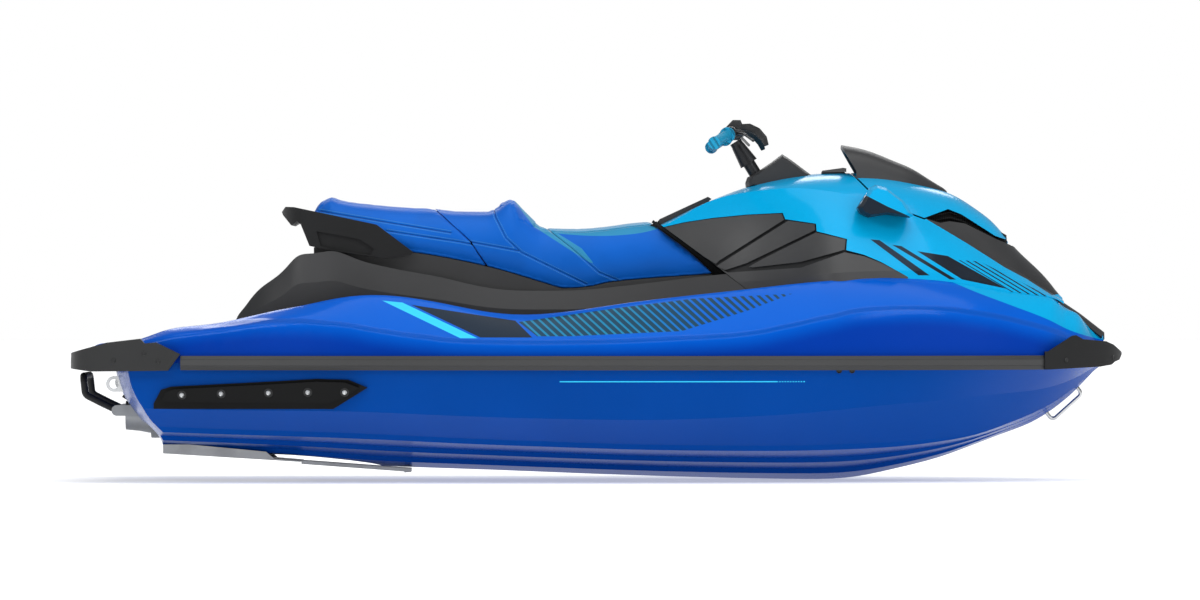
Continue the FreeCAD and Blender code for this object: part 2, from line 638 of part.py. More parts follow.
def deck():
    """Build the deck: footwells, rear platform, and the openings below the seat and hood."""
    solid = deck_form().cut(trough_tool())
    length, width = number(D.bay_length), number(D.bay_width) * 0.9
    middle = along(BAY_CENTRE_SHARE)
    hatch = Part.makeBox(length * 0.96, width, number(D.overrun) * 2,
                         Vector(middle - length * 0.48, -width / 2, number(D.rail_height)
                                - number(D.overrun)))
    under = joint_box(number(D.rail_height - D.overrun), number(D.rail_height))
    return solid.cut(hatch).cut(tub_tool()).cut(under)


def rail_section(share):
    """Give the rub rail's port section: against hull and deck inside, crowned outside."""
    low = number(D.rail_height - D.rail_depth / 2)
    high = number(D.rail_height + D.rail_depth / 2)
    joint = number(D.rail_height)
    bed = -number(D.rail_bed)
    rail_y = across(PLAN_SHARES.at(share))
    knuckle_y = across(KNUCKLE_WIDTH_SHARES.at(share))
    knuckle_z = up(KNUCKLE_SHARES.at(share))
    turn = min(1, (joint - low) / max(joint - knuckle_z, joint - low))
    shoulder_y = across(SHOULDER_WIDTH_SHARES.at(share))
    thick = number(D.rail_thickness)
    outer = rail_y + thick
    pairs = [(rail_y + (knuckle_y - rail_y) * turn + bed, low), (rail_y + bed, joint),
             (rail_y - (rail_y - shoulder_y) * 0.15 + bed, high), (outer - thick * 0.35, high),
             (outer, high - thick * 0.7), (outer, low + thick * 0.7),
             (outer - thick * 0.35, low)]
    points = [Vector(along(share), y, z) for y, z in pairs]
    return Part.makePolygon(points + points[:1])


def body_halves(hull_solid, deck_solid):
    """Give the hull up to the joint and the deck from the joint, as full solids."""
    joint, reach = number(D.rail_height), up(0.6)
    return (hull_solid.common(joint_box(joint - reach, joint)),
            deck_solid.common(joint_box(joint, joint + reach)))


def rub_rail(hull_solid, deck_solid):
    """Build the rub rail: a lower and an upper lip along both sides, between the bumpers."""
    wires = [rail_section(share) for share in HULL_STATION_SHARES]
    length = box_between((along(-0.3936), 0, up(-0.3)),
                         (along(0.4217), number(D.half_beam) * 2, up(0.5)))
    band = Part.makeLoft(wires, True, False).common(length)
    joint, reach = number(D.rail_height), number(D.overrun)
    lips = []
    for side in (band, mirrored(band)):
        lips.append(side.common(joint_box(joint - reach, joint)).cut(hull_solid))
        lips.append(side.common(joint_box(joint, joint + reach)).cut(deck_solid))
    return Part.makeCompound(lips)


BOW_BUMPER_OUTLINE = [
    (0.4220, 0.1256), (0.4251, 0.1256), (0.4488, 0.168), (0.4530, 0.1700), (0.4600, 0.1590),
    (0.4830, 0.1530), (0.4905, 0.1440), (0.4997, 0.1230), (0.5000, 0.117),
    (0.4972, 0.1019), (0.4922, 0.0964), (0.4886, 0.0881), (0.477, 0.0826), (0.427, 0.0757), (0.4220, 0.0757)]
BOW_PLAN_SHARES = ((0.418, 0.545), (0.436, 0.475), (0.455, 0.395), (0.472, 0.315),
                   (0.486, 0.235), (0.495, 0.155), (0.5, 0.055))
STERN_BUMPER_OUTLINE = [
    (-0.5, 0.0799), (-0.4988, 0.122), (-0.492, 0.1278), (-0.463, 0.1509), (-0.432, 0.1614),
    (-0.4272, 0.1487), (-0.4166, 0.1515), (-0.3938, 0.1192), (-0.3973, 0.1052),
    (-0.4052, 0.0743), (-0.4785, 0.0716)]
STERN_PLAN_SHARES = ((-0.5, 0.60), (-0.497, 0.74), (-0.485, 0.845), (-0.455, 0.905),
                     (-0.425, 0.925), (-0.39, 0.945))


def bow_bumper(hull_solid, deck_solid):
    """Build the bow bumper: a rounded guard round the nose."""
    pairs = [(along(x), across(y)) for x, y in BOW_PLAN_SHARES]
    plan = plan_wire(pairs, up(0.04))
    block = Part.Face(plan).extrude(Vector(0, 0, up(0.20)))
    block = block.common(side_prism(BOW_BUMPER_OUTLINE))
    lower, upper = body_halves(hull_solid, deck_solid)
    return block.cut(lower).cut(upper)


def stern_bumper(hull_solid, deck_solid):
    """Build the stern bumper: a band round the rear platform."""
    pairs = [(along(x), across(y)) for x, y in STERN_PLAN_SHARES]
    block = Part.Face(plan_wire(pairs, up(0.04))).extrude(Vector(0, 0, up(0.20)))
    block = block.common(side_prism(STERN_BUMPER_OUTLINE))
    inner_stations = (-0.56, -0.463, -0.43, -0.38)
    floor = number(D.rail_height + D.floor_thickness)
    inner = [(along(s), across(CREST_WIDTH_SHARES.at(s)) - number(D.gunwale_width))
             for s in inner_stations]
    clearing = Part.Face(plan_wire(inner, floor)).extrude(Vector(0, 0, up(0.3)))
    return block.cut(deck_solid).cut(clearing).cut(hull_solid)


SPONSON_OUTLINE = [
    (-0.4191, -0.0154), (-0.4121, 0.022), (-0.4024, 0.0308), (-0.3057, 0.0454),
    (-0.2659, 0.0523), (-0.2355, 0.0501), (-0.2175, 0.0281), (-0.2336, -0.0011),
    (-0.2498, -0.0303), (-0.4191, -0.0303)]
SPONSON_FACE = [
    (-0.4120, -0.0110), (-0.4070, 0.016), (-0.4000, 0.0235), (-0.3057, 0.0375),
    (-0.2659, 0.0445), (-0.2385, 0.042), (-0.2255, 0.0281), (-0.2400, 0.0), (-0.2550, -0.0145)]


def sponson(hull_solid, grown_thin, grown_thick):
    """Build the port sponson: a flange against the hull side and a thicker body on it."""
    start = number(D.half_beam) * 0.45
    flange = side_prism(SPONSON_OUTLINE, start=start).common(grown_thin)
    body = side_prism(SPONSON_FACE, start=start).common(grown_thick)
    return flange.fuse(body).cut(hull_solid).removeSplitter()


def seat_base():
    """Build the seat base, hollow over the engine, behind the seat's front seam."""
    outer = base_form()
    inner = base_form(number(D.skin))
    middle, length = along(BAY_CENTRE_SHARE), number(D.bay_length)
    room = box_between((middle - length / 2, -number(D.bay_width), 0),
                       (middle + length / 2, number(D.bay_width), up(0.6)))
    lower_floor = box_between((middle - length / 2, -number(D.bay_width) * 0.42, 0),
                              (middle + length / 2, number(D.bay_width) * 0.42,
                               number(D.rail_height + D.floor_thickness) + number(D.skin) * 2))
    cavity = inner.common(room).fuse(lower_floor.common(outer))
    solid = outer.cut(cavity).common(side_prism(BEHIND_SEAM))
    upper = pedestal_form().common(side_prism(BEHIND_SEAM))
    return solid.fuse(upper.cut(inner.common(room)).cut(outer)).removeSplitter()


# Pedestal between the base's crest and the seats
PEDESTAL_WIDTH_SHARES = Curve([
    (-0.272, 0.30), (-0.200, 0.325), (-0.119, 0.325), (-0.028, 0.315), (0.060, 0.30),
    (0.110, 0.30)])
SEAT_BOTTOM_SHARES = Curve([
    (-0.275, 0.412), (-0.2555, 0.4215), (-0.1771, 0.399), (-0.1066, 0.3600), (-0.0469, 0.3095),
    (-0.0359, 0.300), (-0.016, 0.302), (0.0109, 0.3175), (0.1073, 0.3400)])


def pedestal_form():
    """Give the body that carries the seats, up to their undersides."""
    wires = []
    inner = [share for share in REAR_SEAT_STATION_SHARES + FRONT_SEAT_STATION_SHARES
             if share > -0.272]
    for share in [-0.272] + sorted(set(inner)):
        half_width = across(PEDESTAL_WIDTH_SHARES.at(share))
        low = number(D.rail_height + D.floor_thickness)
        high = up(SEAT_BOTTOM_SHARES.at(share)) - number(D.fit_gap) * 4
        wires.append(section_wire(along(share), [(half_width * 1.08, low), (half_width, high)]))
    return Part.makeLoft(wires, True, True)


# Seats: top line, underside and half-widths
REAR_SEAT_TOP_SHARES = Curve([
    (-0.2744, 0.513), (-0.2685, 0.535), (-0.2627, 0.548), (-0.2568, 0.5562), (-0.2481, 0.5469),
    (-0.2264, 0.537), (-0.1626, 0.524), (-0.1227, 0.524)])
FRONT_SEAT_TOP_SHARES = Curve([
    (-0.1640, 0.5265), (-0.137, 0.5158), (-0.1085, 0.5149), (-0.0972, 0.5287), (-0.0858, 0.5507),
    (-0.0718, 0.5105), (-0.0519, 0.4700), (-0.0213, 0.4667), (0.0081, 0.4736), (0.0457, 0.4874),
    (0.0511, 0.485), (0.1073, 0.470)])
REAR_SEAT_WIDTH_SHARES = Curve([
    (-0.2744, 0.80), (-0.250, 0.92), (-0.200, 1.0), (-0.150, 0.98), (-0.105, 0.94)])
FRONT_SEAT_WIDTH_SHARES = Curve([
    (-0.1640, 0.98), (-0.0858, 0.94), (-0.030, 0.82), (0.030, 0.80), (0.070, 0.86),
    (0.1073, 0.98)])
REAR_SEAT_OUTLINE = [
    (-0.2790, 0.5182), (-0.2790, 0.60), (-0.1604, 0.60), (-0.1604, 0.5265), (-0.1235, 0.4296),
    (-0.1076, 0.3607), (-0.1076, 0.30), (-0.2790, 0.30)]
FRONT_SEAT_OUTLINE = [
    (-0.1597, 0.60), (-0.1597, 0.5265), (-0.1227, 0.4296), (-0.1066, 0.3607), (-0.1066, 0.27),
    (0.1370, 0.27), (0.0450, 0.492), (0.0450, 0.60)]


def seat_wire(place, half_width, top, bottom):
    """Give a cushion's section: level underside, full flank and crowned top."""
    tall = top - bottom
    port = [(half_width * 0.93, bottom), (half_width * 1.0, bottom + tall * 0.30),
            (half_width * 0.90, bottom + tall * 0.66), (half_width * 0.66, bottom + tall * 0.92),
            (half_width * 0.33, top - tall * 0.012), (0, top)]
    line = [Vector(place, y, z) for y, z in port]
    line += [Vector(place, -y, z) for y, z in reversed(port[:-1])]
    return Part.Wire([edge_through(line), Part.makeLine(line[-1], line[0])])


def seat(top_shares, width_shares, stations, outline):
    """Build a cushion between its underside and its top line, trimmed to its outline."""
    wires = []
    for share in stations:
        half_width = number(D.seat_half_width) * width_shares.at(share)
        bottom = up(SEAT_BOTTOM_SHARES.at(share))
        wires.append(seat_wire(along(share), half_width, up(top_shares.at(share)), bottom))
    return Part.makeLoft(wires, True, True).common(side_prism(outline))


REAR_SEAT_STATION_SHARES = (
    -0.2744, -0.2685, -0.2627, -0.2568, -0.2525, -0.2481, -0.240, -0.232, -0.218, -0.205, -0.190,
    -0.175, -0.160, -0.145, -0.125, -0.1040)
FRONT_SEAT_STATION_SHARES = (
    -0.1640, -0.150, -0.137, -0.127, -0.118, -0.112, -0.1066, -0.102, -0.0972, -0.0915, -0.0858,
    -0.0820, -0.0788, -0.0750, -0.0718, -0.0670, -0.0620, -0.0570, -0.0519, -0.044, -0.036,
    -0.0213, -0.007, 0.0081, 0.027, 0.0457, 0.060, 0.075, 0.090, 0.1073)


# Grab handle round the rear of the seat
GRAB_OUTLINE = [
    (-0.3032, 0.5111), (-0.2991, 0.5251), (-0.2905, 0.5238), (-0.2118, 0.4753), (-0.177, 0.3993),
    (-0.1787, 0.392), (-0.2045, 0.3810), (-0.2147, 0.3875), (-0.2539, 0.4030), (-0.2756, 0.4164),
    (-0.2839, 0.4753), (-0.2873, 0.4846), (-0.2934, 0.4736), (-0.3019, 0.5028)]


GRAB_RECESS = [
    (-0.2690, 0.4571), (-0.2281, 0.4354), (-0.2143, 0.4085), (-0.2179, 0.3920),
    (-0.2540, 0.4085), (-0.2651, 0.4172)]


def grab_handle():
    """Build the grab handle: a bar behind the seat on two moulded arms."""
    half = number(D.seat_half_width)
    outer, inner = half * 1.17, half * 1.045
    rear = along(-0.3032)
    front = along(-0.177)
    outside = [(rear, half * 0.55), (rear + half * 0.06, half * 0.80),
               (rear + half * 0.26, outer * 0.93), (rear + half * 0.7, outer), (front, outer)]
    block = Part.Face(plan_wire(outside, up(0.36))).extrude(Vector(0, 0, up(0.20)))
    block = block.common(side_prism(GRAB_OUTLINE))
    well = [(along(-0.2800), half * 0.70), (along(-0.2744), half * 0.86),
            (along(-0.262), inner * 0.97), (along(-0.240), inner), (along(-0.150), inner)]
    opening = Part.Face(plan_wire(well, up(0.30))).extrude(Vector(0, 0, up(0.30)))
    recess = side_prism(GRAB_RECESS, start=outer * 0.95)
    return block.cut(opening).cut(recess).cut(mirrored(recess)).cut(base_form())


# Panels of the cowl
HOOD_OUTLINE = [
    (0.2403, 0.80), (0.2403, 0.6223), (0.2552, 0.5755), (0.2611, 0.5535), (0.2976, 0.505),
    (0.3085, 0.4937), (0.3322, 0.5191), (0.3455, 0.5039), (0.3777, 0.4450), (0.3868, 0.4365),
    (0.392, 0.4365), (0.392, 0.80)]
INTAKE_OUTLINE = [
    (0.3085, 0.4937), (0.3322, 0.5191), (0.3455, 0.5039), (0.3777, 0.4450), (0.3868, 0.4365),
    (0.400, 0.4365), (0.3985, 0.414), (0.3791, 0.4351), (0.3480, 0.4790), (0.3330, 0.4850),
    (0.3240, 0.4800)]
SPINE_OUTLINE = [
    (0.3085, 0.4937), (0.3240, 0.4800), (0.3330, 0.4850), (0.3480, 0.4790), (0.3791, 0.4351),
    (0.3985, 0.414), (0.47, 0.414), (0.47, 0.2836), (0.4412, 0.2836), (0.4314, 0.2809),
    (0.4080, 0.3240), (0.3863, 0.3566), (0.3500, 0.4230)]
KNEE_OUTLINE = [
    (0.0500, 0.492), (0.0555, 0.4654), (0.080, 0.482), (0.1076, 0.494), (0.140, 0.503),
    (0.1739, 0.5075), (0.1762, 0.490), (0.2050, 0.4770), (0.2055, 0.4560), (0.2340, 0.4345),
    (0.2330, 0.4040), (0.2502, 0.391), (0.2659, 0.3717), (0.2915, 0.3304), (0.2915, 0.05),
    (0.1385, 0.05), (0.1385, 0.298), (0.1085, 0.3655)]
KNEE_PANELS = (
    [(0.0560, 0.4640), (0.080, 0.480), (0.1076, 0.492), (0.140, 0.501), (0.1730, 0.5055),
     (0.1750, 0.488), (0.1138, 0.3760), (0.1105, 0.3670)],
    [(0.1109, 0.3600), (0.1196, 0.3500), (0.1398, 0.3690), (0.2038, 0.4590), (0.2038, 0.4753),
     (0.1790, 0.4858)],
    [(0.1420, 0.3590), (0.1573, 0.3840), (0.2050, 0.4530), (0.2327, 0.4332), (0.2314, 0.405),
     (0.1907, 0.3720), (0.1455, 0.3570)],
    [(0.1125, 0.3580), (0.1385, 0.2985), (0.1400, 0.05), (0.2915, 0.05), (0.2915, 0.3304),
     (0.2659, 0.3690), (0.2502, 0.387), (0.2314, 0.398), (0.1907, 0.3560), (0.1218, 0.3430)])


def cowl_panels(deck_solid):
    """Split the body above the deck into its panels; give them by name."""
    outer = cowl_form().cut(deck_solid)
    inner = cowl_form(number(D.skin))
    liner_inner = cowl_form(2 * number(D.skin))
    skin = outer.cut(inner)
    behind = side_prism(shift(BEHIND_SEAM, D.seam))
    skin = skin.cut(behind)
    hood_zone = side_prism(HOOD_OUTLINE)
    gap = number(D.panel_gap)
    wide_hood = side_prism(grow_outline(HOOD_OUTLINE, gap))
    intake = side_prism(INTAKE_OUTLINE)
    spine_zone = side_prism(SPINE_OUTLINE)
    knee_zone = side_prism(KNEE_OUTLINE)
    console = console_tool()
    panels = {}
    column_hole = column_tool(D.panel_gap)
    panels["hood"] = skin.common(hood_zone).fuse(hood_ears(inner)).cut(hood_pin_tool())
    spine = skin.common(spine_zone).cut(wide_hood).cut(intake).cut(hinge_notch())
    panels["nose_spine"] = spine
    cyan = skin.cut(wide_hood).cut(spine_zone).cut(intake).cut(knee_zone).cut(console).cut(column_hole)
    panels["front_cowl"] = cyan
    knee = skin.common(knee_zone)
    panels["knee_panels"] = Part.makeCompound(
        [solid for outline in KNEE_PANELS
         for solid in knee.common(side_prism(outline)).Solids])
    liner_zone = side_prism([(0.03, 0.60), (0.30, 0.60), (0.30, 0.05), (0.03, 0.05)])
    liner = inner.cut(liner_inner).cut(deck_solid).common(liner_zone).cut(behind)
    liner = liner.cut(wide_hood).cut(console).cut(tub_tool()).cut(column_hole)
    panels["cowl_liner"] = liner
    return panels


def grow_outline(outline, gap):
    """Move each corner of a side outline outwards by a gap."""
    points = [(x * number(LENGTH), z * number(HEIGHT)) for x, z in outline]
    area = sum(a[0] * b[1] - b[0] * a[1] for a, b in zip(points, points[1:] + points[:1]))
    turn = 1 if area > 0 else -1
    moved = []
    for before, here, after in zip(points[-1:] + points[:-1], points, points[1:] + points[:1]):
        first = unit(here[0] - before[0], here[1] - before[1])
        second = unit(after[0] - here[0], after[1] - here[1])
        normals = ((first[1] * turn, -first[0] * turn), (second[1] * turn, -second[0] * turn))
        sum_x, sum_z = normals[0][0] + normals[1][0], normals[0][1] + normals[1][1]
        spread = max(1 + normals[0][0] * normals[1][0] + normals[0][1] * normals[1][1], 0.5)
        moved.append(((here[0] + gap * sum_x / spread) / number(LENGTH),
                      (here[1] + gap * sum_z / spread) / number(HEIGHT)))
    return moved


def unit(dx, dz):
    """Give the direction of a run as a pair of length one."""
    run = math.hypot(dx, dz)
    return dx / run, dz / run


def console_tool():
    """Give the opening that is cut in the cowl for the glovebox and the skirts of its lid."""
    outline = [(0.0560, 0.60), (0.0560, 0.42), (0.1055, 0.42), (0.1055, 0.60)]
    return side_prism(outline, D.lid_half_width + D.panel_gap)


# Hood hinge, under the lip of the hood
HINGE_SHARES = (0.3880, 0.4276)


def hinge_place(y=0):
    """Give the hood's hinge line at a place across the craft."""
    return Vector(along(HINGE_SHARES[0]), y, up(HINGE_SHARES[1]))


def hood_ears(inner):
    """Give the two ears of the hood that turn on the hinge pin."""
    pin = number(D.hinge_pin)
    thick = pin * 2.4
    ears = []
    for y in (-thick * 3.2, thick * 2.2):
        eye = Part.makeCylinder(pin * 1.9, thick, hinge_place(y), Vector(0, 1, 0))
        web = box_between((hinge_place().x - pin * 1.9, y, hinge_place().z),
                          (hinge_place().x + pin * 0.5, y + thick, hinge_place().z + pin * 4))
        ears.append(eye.fuse(web).common(cowl_form(number(D.skin) * 0.5)))
    return ears


def hood_pin_tool():
    """Give the hole through the hood's ears."""
    reach = number(D.hinge_pin) * 20
    return Part.makeCylinder(number(D.hinge_pin + D.pivot_clearance), reach,
                             hinge_place(-reach / 2), Vector(0, 1, 0))


def hinge_notch():
    """Give the room that is cut in the nose spine round the hinge."""
    pin = number(D.hinge_pin)
    middle = hinge_place()
    return box_between((middle.x - pin * 5, -pin * 13, middle.z - pin * 4),
                       (middle.x + pin * 4.5, pin * 13, middle.z + pin * 8))


def hood_hinge():
    """Build the hinge of the hood: a pin on two posts from the nose."""
    pin = number(D.hinge_pin)
    middle = hinge_place()
    rod = Part.makeCylinder(pin, pin * 24, hinge_place(-pin * 12), Vector(0, 1, 0))
    posts = []
    for y in (-pin * 12, pin * 10.4):
        posts.append(box_between((middle.x - pin * 1.6, y, up(0.300)),
                                 (middle.x + pin * 1.2, y + pin * 1.6, middle.z + pin * 1.1)))
    foot = box_between((middle.x - pin * 5, -pin * 12, up(0.2956)),
                       (middle.x + pin * 5, pin * 12, up(0.303)))
    return rod.fuse(posts + [foot]).removeSplitter()


# Steering
COLUMN_SHARES = (0.14925, 0.6193)
COLUMN_LEAN = Vector(-0.53, 0, 0.848)
BAR_SHARES = ((0.1284, 0.0, 0.7372), (0.1284, 0.23, 0.7372), (0.1239, 0.668, 0.7268),
              (0.1090, 1.0, 0.6990))


def column_place(reach):
    """Give the point on the steering axis at a reach from the cowl."""
    lean = Vector(COLUMN_LEAN).normalize()
    return Vector(along(COLUMN_SHARES[0]), 0, up(COLUMN_SHARES[1])) + lean * reach


def column_tool(gap):
    """Give the round room for the steering column."""
    reach = number(D.column_radius) * 9
    start = column_place(-reach * 0.7)
    return Part.makeCylinder(number(D.column_radius + gap), reach * 1.4, start,
                             Vector(COLUMN_LEAN))


def bar_point(k, side):
    """Give a bend of the handlebar on one side."""
    x, y, z = BAR_SHARES[k]
    return Vector(along(x), side * y * number(D.bar_half_width), up(z))


def tube(points, radius, bend):
    """Give a round bar along straight runs with rounded bends."""
    edges = []
    start = points[0]
    for before, corner, after in zip(points, points[1:], points[2:]):
        back = (before - corner).normalize()
        ahead = (after - corner).normalize()
        half = back.getAngle(ahead) / 2
        reach = bend / math.tan(half)
        middle = corner + (back + ahead).normalize() * (bend / math.sin(half) - bend)
        edges.append(Part.makeLine(start, corner + back * reach))
        edges.append(Part.Arc(corner + back * reach, middle, corner + ahead * reach).toShape())
        start = corner + ahead * reach
    edges.append(Part.makeLine(start, points[-1]))
    ring = Part.Wire(Part.makeCircle(radius, points[0], points[1] - points[0]))
    return Part.Wire(edges).makePipeShell([ring], True, False)


def bar_path():
    """Give the handlebar's bends from the starboard end to the port end."""
    starboard = [bar_point(k, -1) for k in (3, 2, 1)]
    port = [bar_point(k, 1) for k in (1, 2, 3)]
    return starboard + port


def handlebar():
    """Build the handlebar tube."""
    radius = number(D.bar_radius)
    return tube(bar_path(), radius, radius * 3)


def grips(bar):
    """Build the two hand grips with their end collars."""
    shapes = []
    for side in (-1, 1):
        outer, inner = bar_point(3, side), bar_point(2, side)
        run = (inner - outer).normalize()
        start = outer - run * number(D.bar_radius) * 0.6
        length = number(D.grip_length)
        body = Part.makeCylinder(number(D.grip_radius), length, start, run)
        collar = Part.makeCylinder(number(D.grip_collar), length * 0.05,
                                   start + run * length * 0.95, run)
        cap = Part.makeCylinder(number(D.grip_radius) * 1.2, length * 0.06, start, run)
        shapes.append(body.fuse([collar, cap]).cut(bar))
    return Part.makeCompound(shapes)


def hand_controls(bar):
    """Build the throttle and reverse levers with their clamps."""
    shapes = []
    radius = number(D.bar_radius)
    for side in (-1, 1):
        outer, inner = bar_point(3, side), bar_point(2, side)
        bend = bar_point(1, side)
        run = (bend - inner).normalize()
        start = inner + run * radius * 1.2
        clamp = Part.makeCylinder(radius * 1.75, radius * 3.4, start, run)
        ahead = Vector(1, 0, 0)
        pivot = start + run * radius * 1.7 + ahead * radius * 1.4
        tip = outer + ahead * radius * 11 + Vector(0, 0, radius * 0.6)
        elbow = inner + ahead * radius * 4.6 + (outer - inner) * 0.10
        lever = tube([pivot, elbow, tip], radius * 0.42, radius * 1.6)
        block = Part.makeCylinder(radius * 0.9, radius * 2.2, pivot - ahead * radius * 0.4, ahead)
        shapes.append(clamp.fuse([block, lever]).cut(bar))
    return Part.makeCompound(shapes)


def rounded(shape, radius, chosen):
    """Round the chosen edges of a shape."""
    return shape.makeFillet(radius, [edge for edge in shape.Edges if chosen(edge)])


def crowned_prism(outline, half, scale):
    """Give a side outline swept across the craft, drawn in towards both ends."""
    middle_x = sum(x for x, _ in outline) / len(outline)
    middle_z = sum(z for _, z in outline) / len(outline)
    wires = []
    for side, size in ((-1, scale), (-0.90, (1 + scale) / 2), (-0.66, 1), (0.66, 1),
                       (0.90, (1 + scale) / 2), (1, scale)):
        points = [Vector(along(middle_x + (x - middle_x) * size), side * half,
                         up(middle_z + (z - middle_z) * size)) for x, z in outline]
        wires.append(Part.makePolygon(points + points[:1]))
    return Part.makeLoft(wires, True, True)


def lengthwise(edge):
    """Tell whether an edge doesn't run straight across the craft."""
    return edge.BoundBox.YLength < number(D.seam)


BAR_PAD_OUTLINE = [
    (0.1190, 0.7290), (0.1196, 0.7435), (0.1273, 0.7671), (0.1348, 0.7671), (0.1374, 0.7490),
    (0.1392, 0.7250), (0.1330, 0.7130), (0.1230, 0.7130)]


def bar_pad(bar, column):
    """Build the padded cover over the middle of the handlebar."""
    half = number(D.bar_half_width) * 0.22
    block = side_prism(BAR_PAD_OUTLINE, half)
    block = rounded(block, number(D.bar_radius) * 0.6, lengthwise)
    return block.cut(bar).cut(column)


def steering_column():
    """Build the steering column with its flared boot."""
    radius = number(D.column_radius)
    lean = Vector(COLUMN_LEAN)
    shaft = Part.makeCylinder(radius, radius * 9.4, column_place(-radius * 3.4), lean)
    boot = Part.makeCone(radius * 1.5, radius * 1.05, radius * 3.4, column_place(radius * 1.9),
                         lean)
    return shaft.fuse(boot)


STEERING_COVER_OUTLINE = [
    (0.1405, 0.580), (0.1398, 0.5925), (0.1417, 0.6086), (0.1464, 0.6141), (0.1645, 0.6499),
    (0.1747, 0.6725), (0.1830, 0.6570), (0.2014, 0.6168), (0.2060, 0.605), (0.2060, 0.580)]


def steering_cover():
    """Build the cover at the foot of the column, standing on the cowl."""
    block = crowned_prism(STEERING_COVER_OUTLINE, number(D.cover_half_width), 0.80)
    return block.cut(cowl_form()).cut(column_tool(D.seam))


VISOR_STATION_SHARES = (
    (0.2300, 0.7000, 1.00), (0.2360, 0.6960, 0.98), (0.2606, 0.6788, 0.86), (0.2824, 0.6535, 0.74),
    (0.2987, 0.6334, 0.62), (0.3128, 0.6086, 0.46), (0.3260, 0.5850, 0.28), (0.3330, 0.5690, 0.12))


def visor_wire(share, top, width, inset):
    """Give an arch of the visor across the craft."""
    x = along(share)
    half = number(D.visor_half_width) * width - inset
    crown = up(top) - inset
    foot = up(COWL_TOP_SHARES.at(share)) - number(D.skin) * 7
    port = [(half * 1.08, foot), (half, foot + (crown - foot) * 0.55),
            (half * 0.80, foot + (crown - foot) * 0.86), (half * 0.42, crown - number(D.seam)),
            (0, crown)]
    line = [Vector(x, y, z) for y, z in port] + [Vector(x, -y, z) for y, z in reversed(port[:-1])]
    return Part.Wire([edge_through(line), Part.makeLine(line[-1], line[0])])


def visor():
    """Build the visor ahead of the bars, open to the rear, standing on the hood."""
    shell_wall = number(D.skin) * 0.6
    outer = [visor_wire(x, z, w, 0) for x, z, w in VISOR_STATION_SHARES]
    inner = [visor_wire(x, z, w, shell_wall) for x, z, w in VISOR_STATION_SHARES[:-2]]
    shell = Part.makeLoft(outer, True, False).cut(Part.makeLoft(inner, True, False))
    rear = side_prism([(0.10, 0.9), (0.2318, 0.9), (0.2318, 0.6895), (0.2450, 0.6240),
                       (0.2450, 0.45), (0.10, 0.45)])
    shell = shell.cut(rear).cut(cowl_form())
    return max(shell.Solids, key=lambda solid: solid.Volume)


MIRROR_OUTLINE = [
    (0.2552, 0.5755), (0.2617, 0.5838), (0.2716, 0.5760), (0.2886, 0.5380), (0.2953, 0.5066),
    (0.2976, 0.5000), (0.2934, 0.4929), (0.2716, 0.5017), (0.2541, 0.4937), (0.2460, 0.5039),
    (0.2431, 0.5190), (0.2514, 0.5573)]
MIRROR_STATION_SHARES = ((0.40, 0.52, -0.006), (0.62, 0.74, -0.003), (0.80, 1.0, 0.0),
                         (0.94, 0.96, 0.0), (1.0, 0.80, 0.0))


def mirror():
    """Build the port mirror housing, reaching out from the hood's flank."""
    centre_x, centre_z = 0.2700, 0.5330
    wires = []
    for reach, scale, drop in MIRROR_STATION_SHARES:
        y = number(D.mirror_reach) * reach
        points = [Vector(along(centre_x + (x - centre_x) * scale), y,
                         up(centre_z + drop + (z - centre_z) * scale)) for x, z in MIRROR_OUTLINE]
        wires.append(Part.makePolygon(points + points[:1]))
    return Part.makeLoft(wires, True, True).cut(cowl_form())


NOSE_STRIP_OUTLINE = [(0.4440, 0.40), (0.4440, 0.10), (0.4835, 0.10), (0.4835, 0.40)]


def nose_strip(deck_full):
    """Build the dark strip over the nose, ahead of the spine."""
    half = number(D.half_beam) * 0.055
    raised = deck_form(number(D.skin) * 0.5).common(side_prism(NOSE_STRIP_OUTLINE, half))
    return max(raised.cut(deck_full).cut(cowl_form()).Solids, key=lambda solid: solid.Volume)


def level_slab(pairs, low, tall):
    """Give a level slab from the plan of its port side."""
    return Part.Face(plan_wire(pairs, low)).extrude(Vector(0, 0, tall))


def deck_mats():
    """Build the mats of the rear platform and both footwells."""
    floor = number(D.rail_height + D.floor_thickness + D.fit_gap)
    tall = number(D.mat_thickness)
    edge = number(D.gunwale_width) * 2.15
    stations = (-0.452, -0.42, -0.38, -0.347, -0.28, -0.227, -0.15, -0.07, 0.0, 0.05, 0.10)
    pairs = [(along(s), across(CREST_WIDTH_SHARES.at(s)) - edge) for s in stations]
    field = level_slab(pairs, floor, tall)
    foot = number(D.base_half_width) * 0.16
    stations = (-0.360, -0.338, -0.310, -0.285, -0.254, -0.210, -0.150, -0.070, 0.030, 0.080,
                0.12)
    inner = [(along(s), across(BASE_WIDTH_SHARES.at(s)) + foot) for s in stations]
    field = field.cut(level_slab(inner, floor - tall, tall * 3))
    gap = box_between((along(-0.352), -number(D.half_beam), floor - tall),
                      (along(-0.348), number(D.half_beam), floor + tall * 2))
    return field.cut(gap)


# Stern and bow fittings
STEP_HINGE_SHARES = (-0.4591, -0.0382)
STEP_PATH_SHARES = ((-0.4731, -0.0191), (-0.4896, 0.0052), (-0.4915, 0.0570))


def step_hinge(y=0):
    """Give the boarding step's hinge line at a place across the craft."""
    return Vector(along(STEP_HINGE_SHARES[0]), y, up(STEP_HINGE_SHARES[1]))


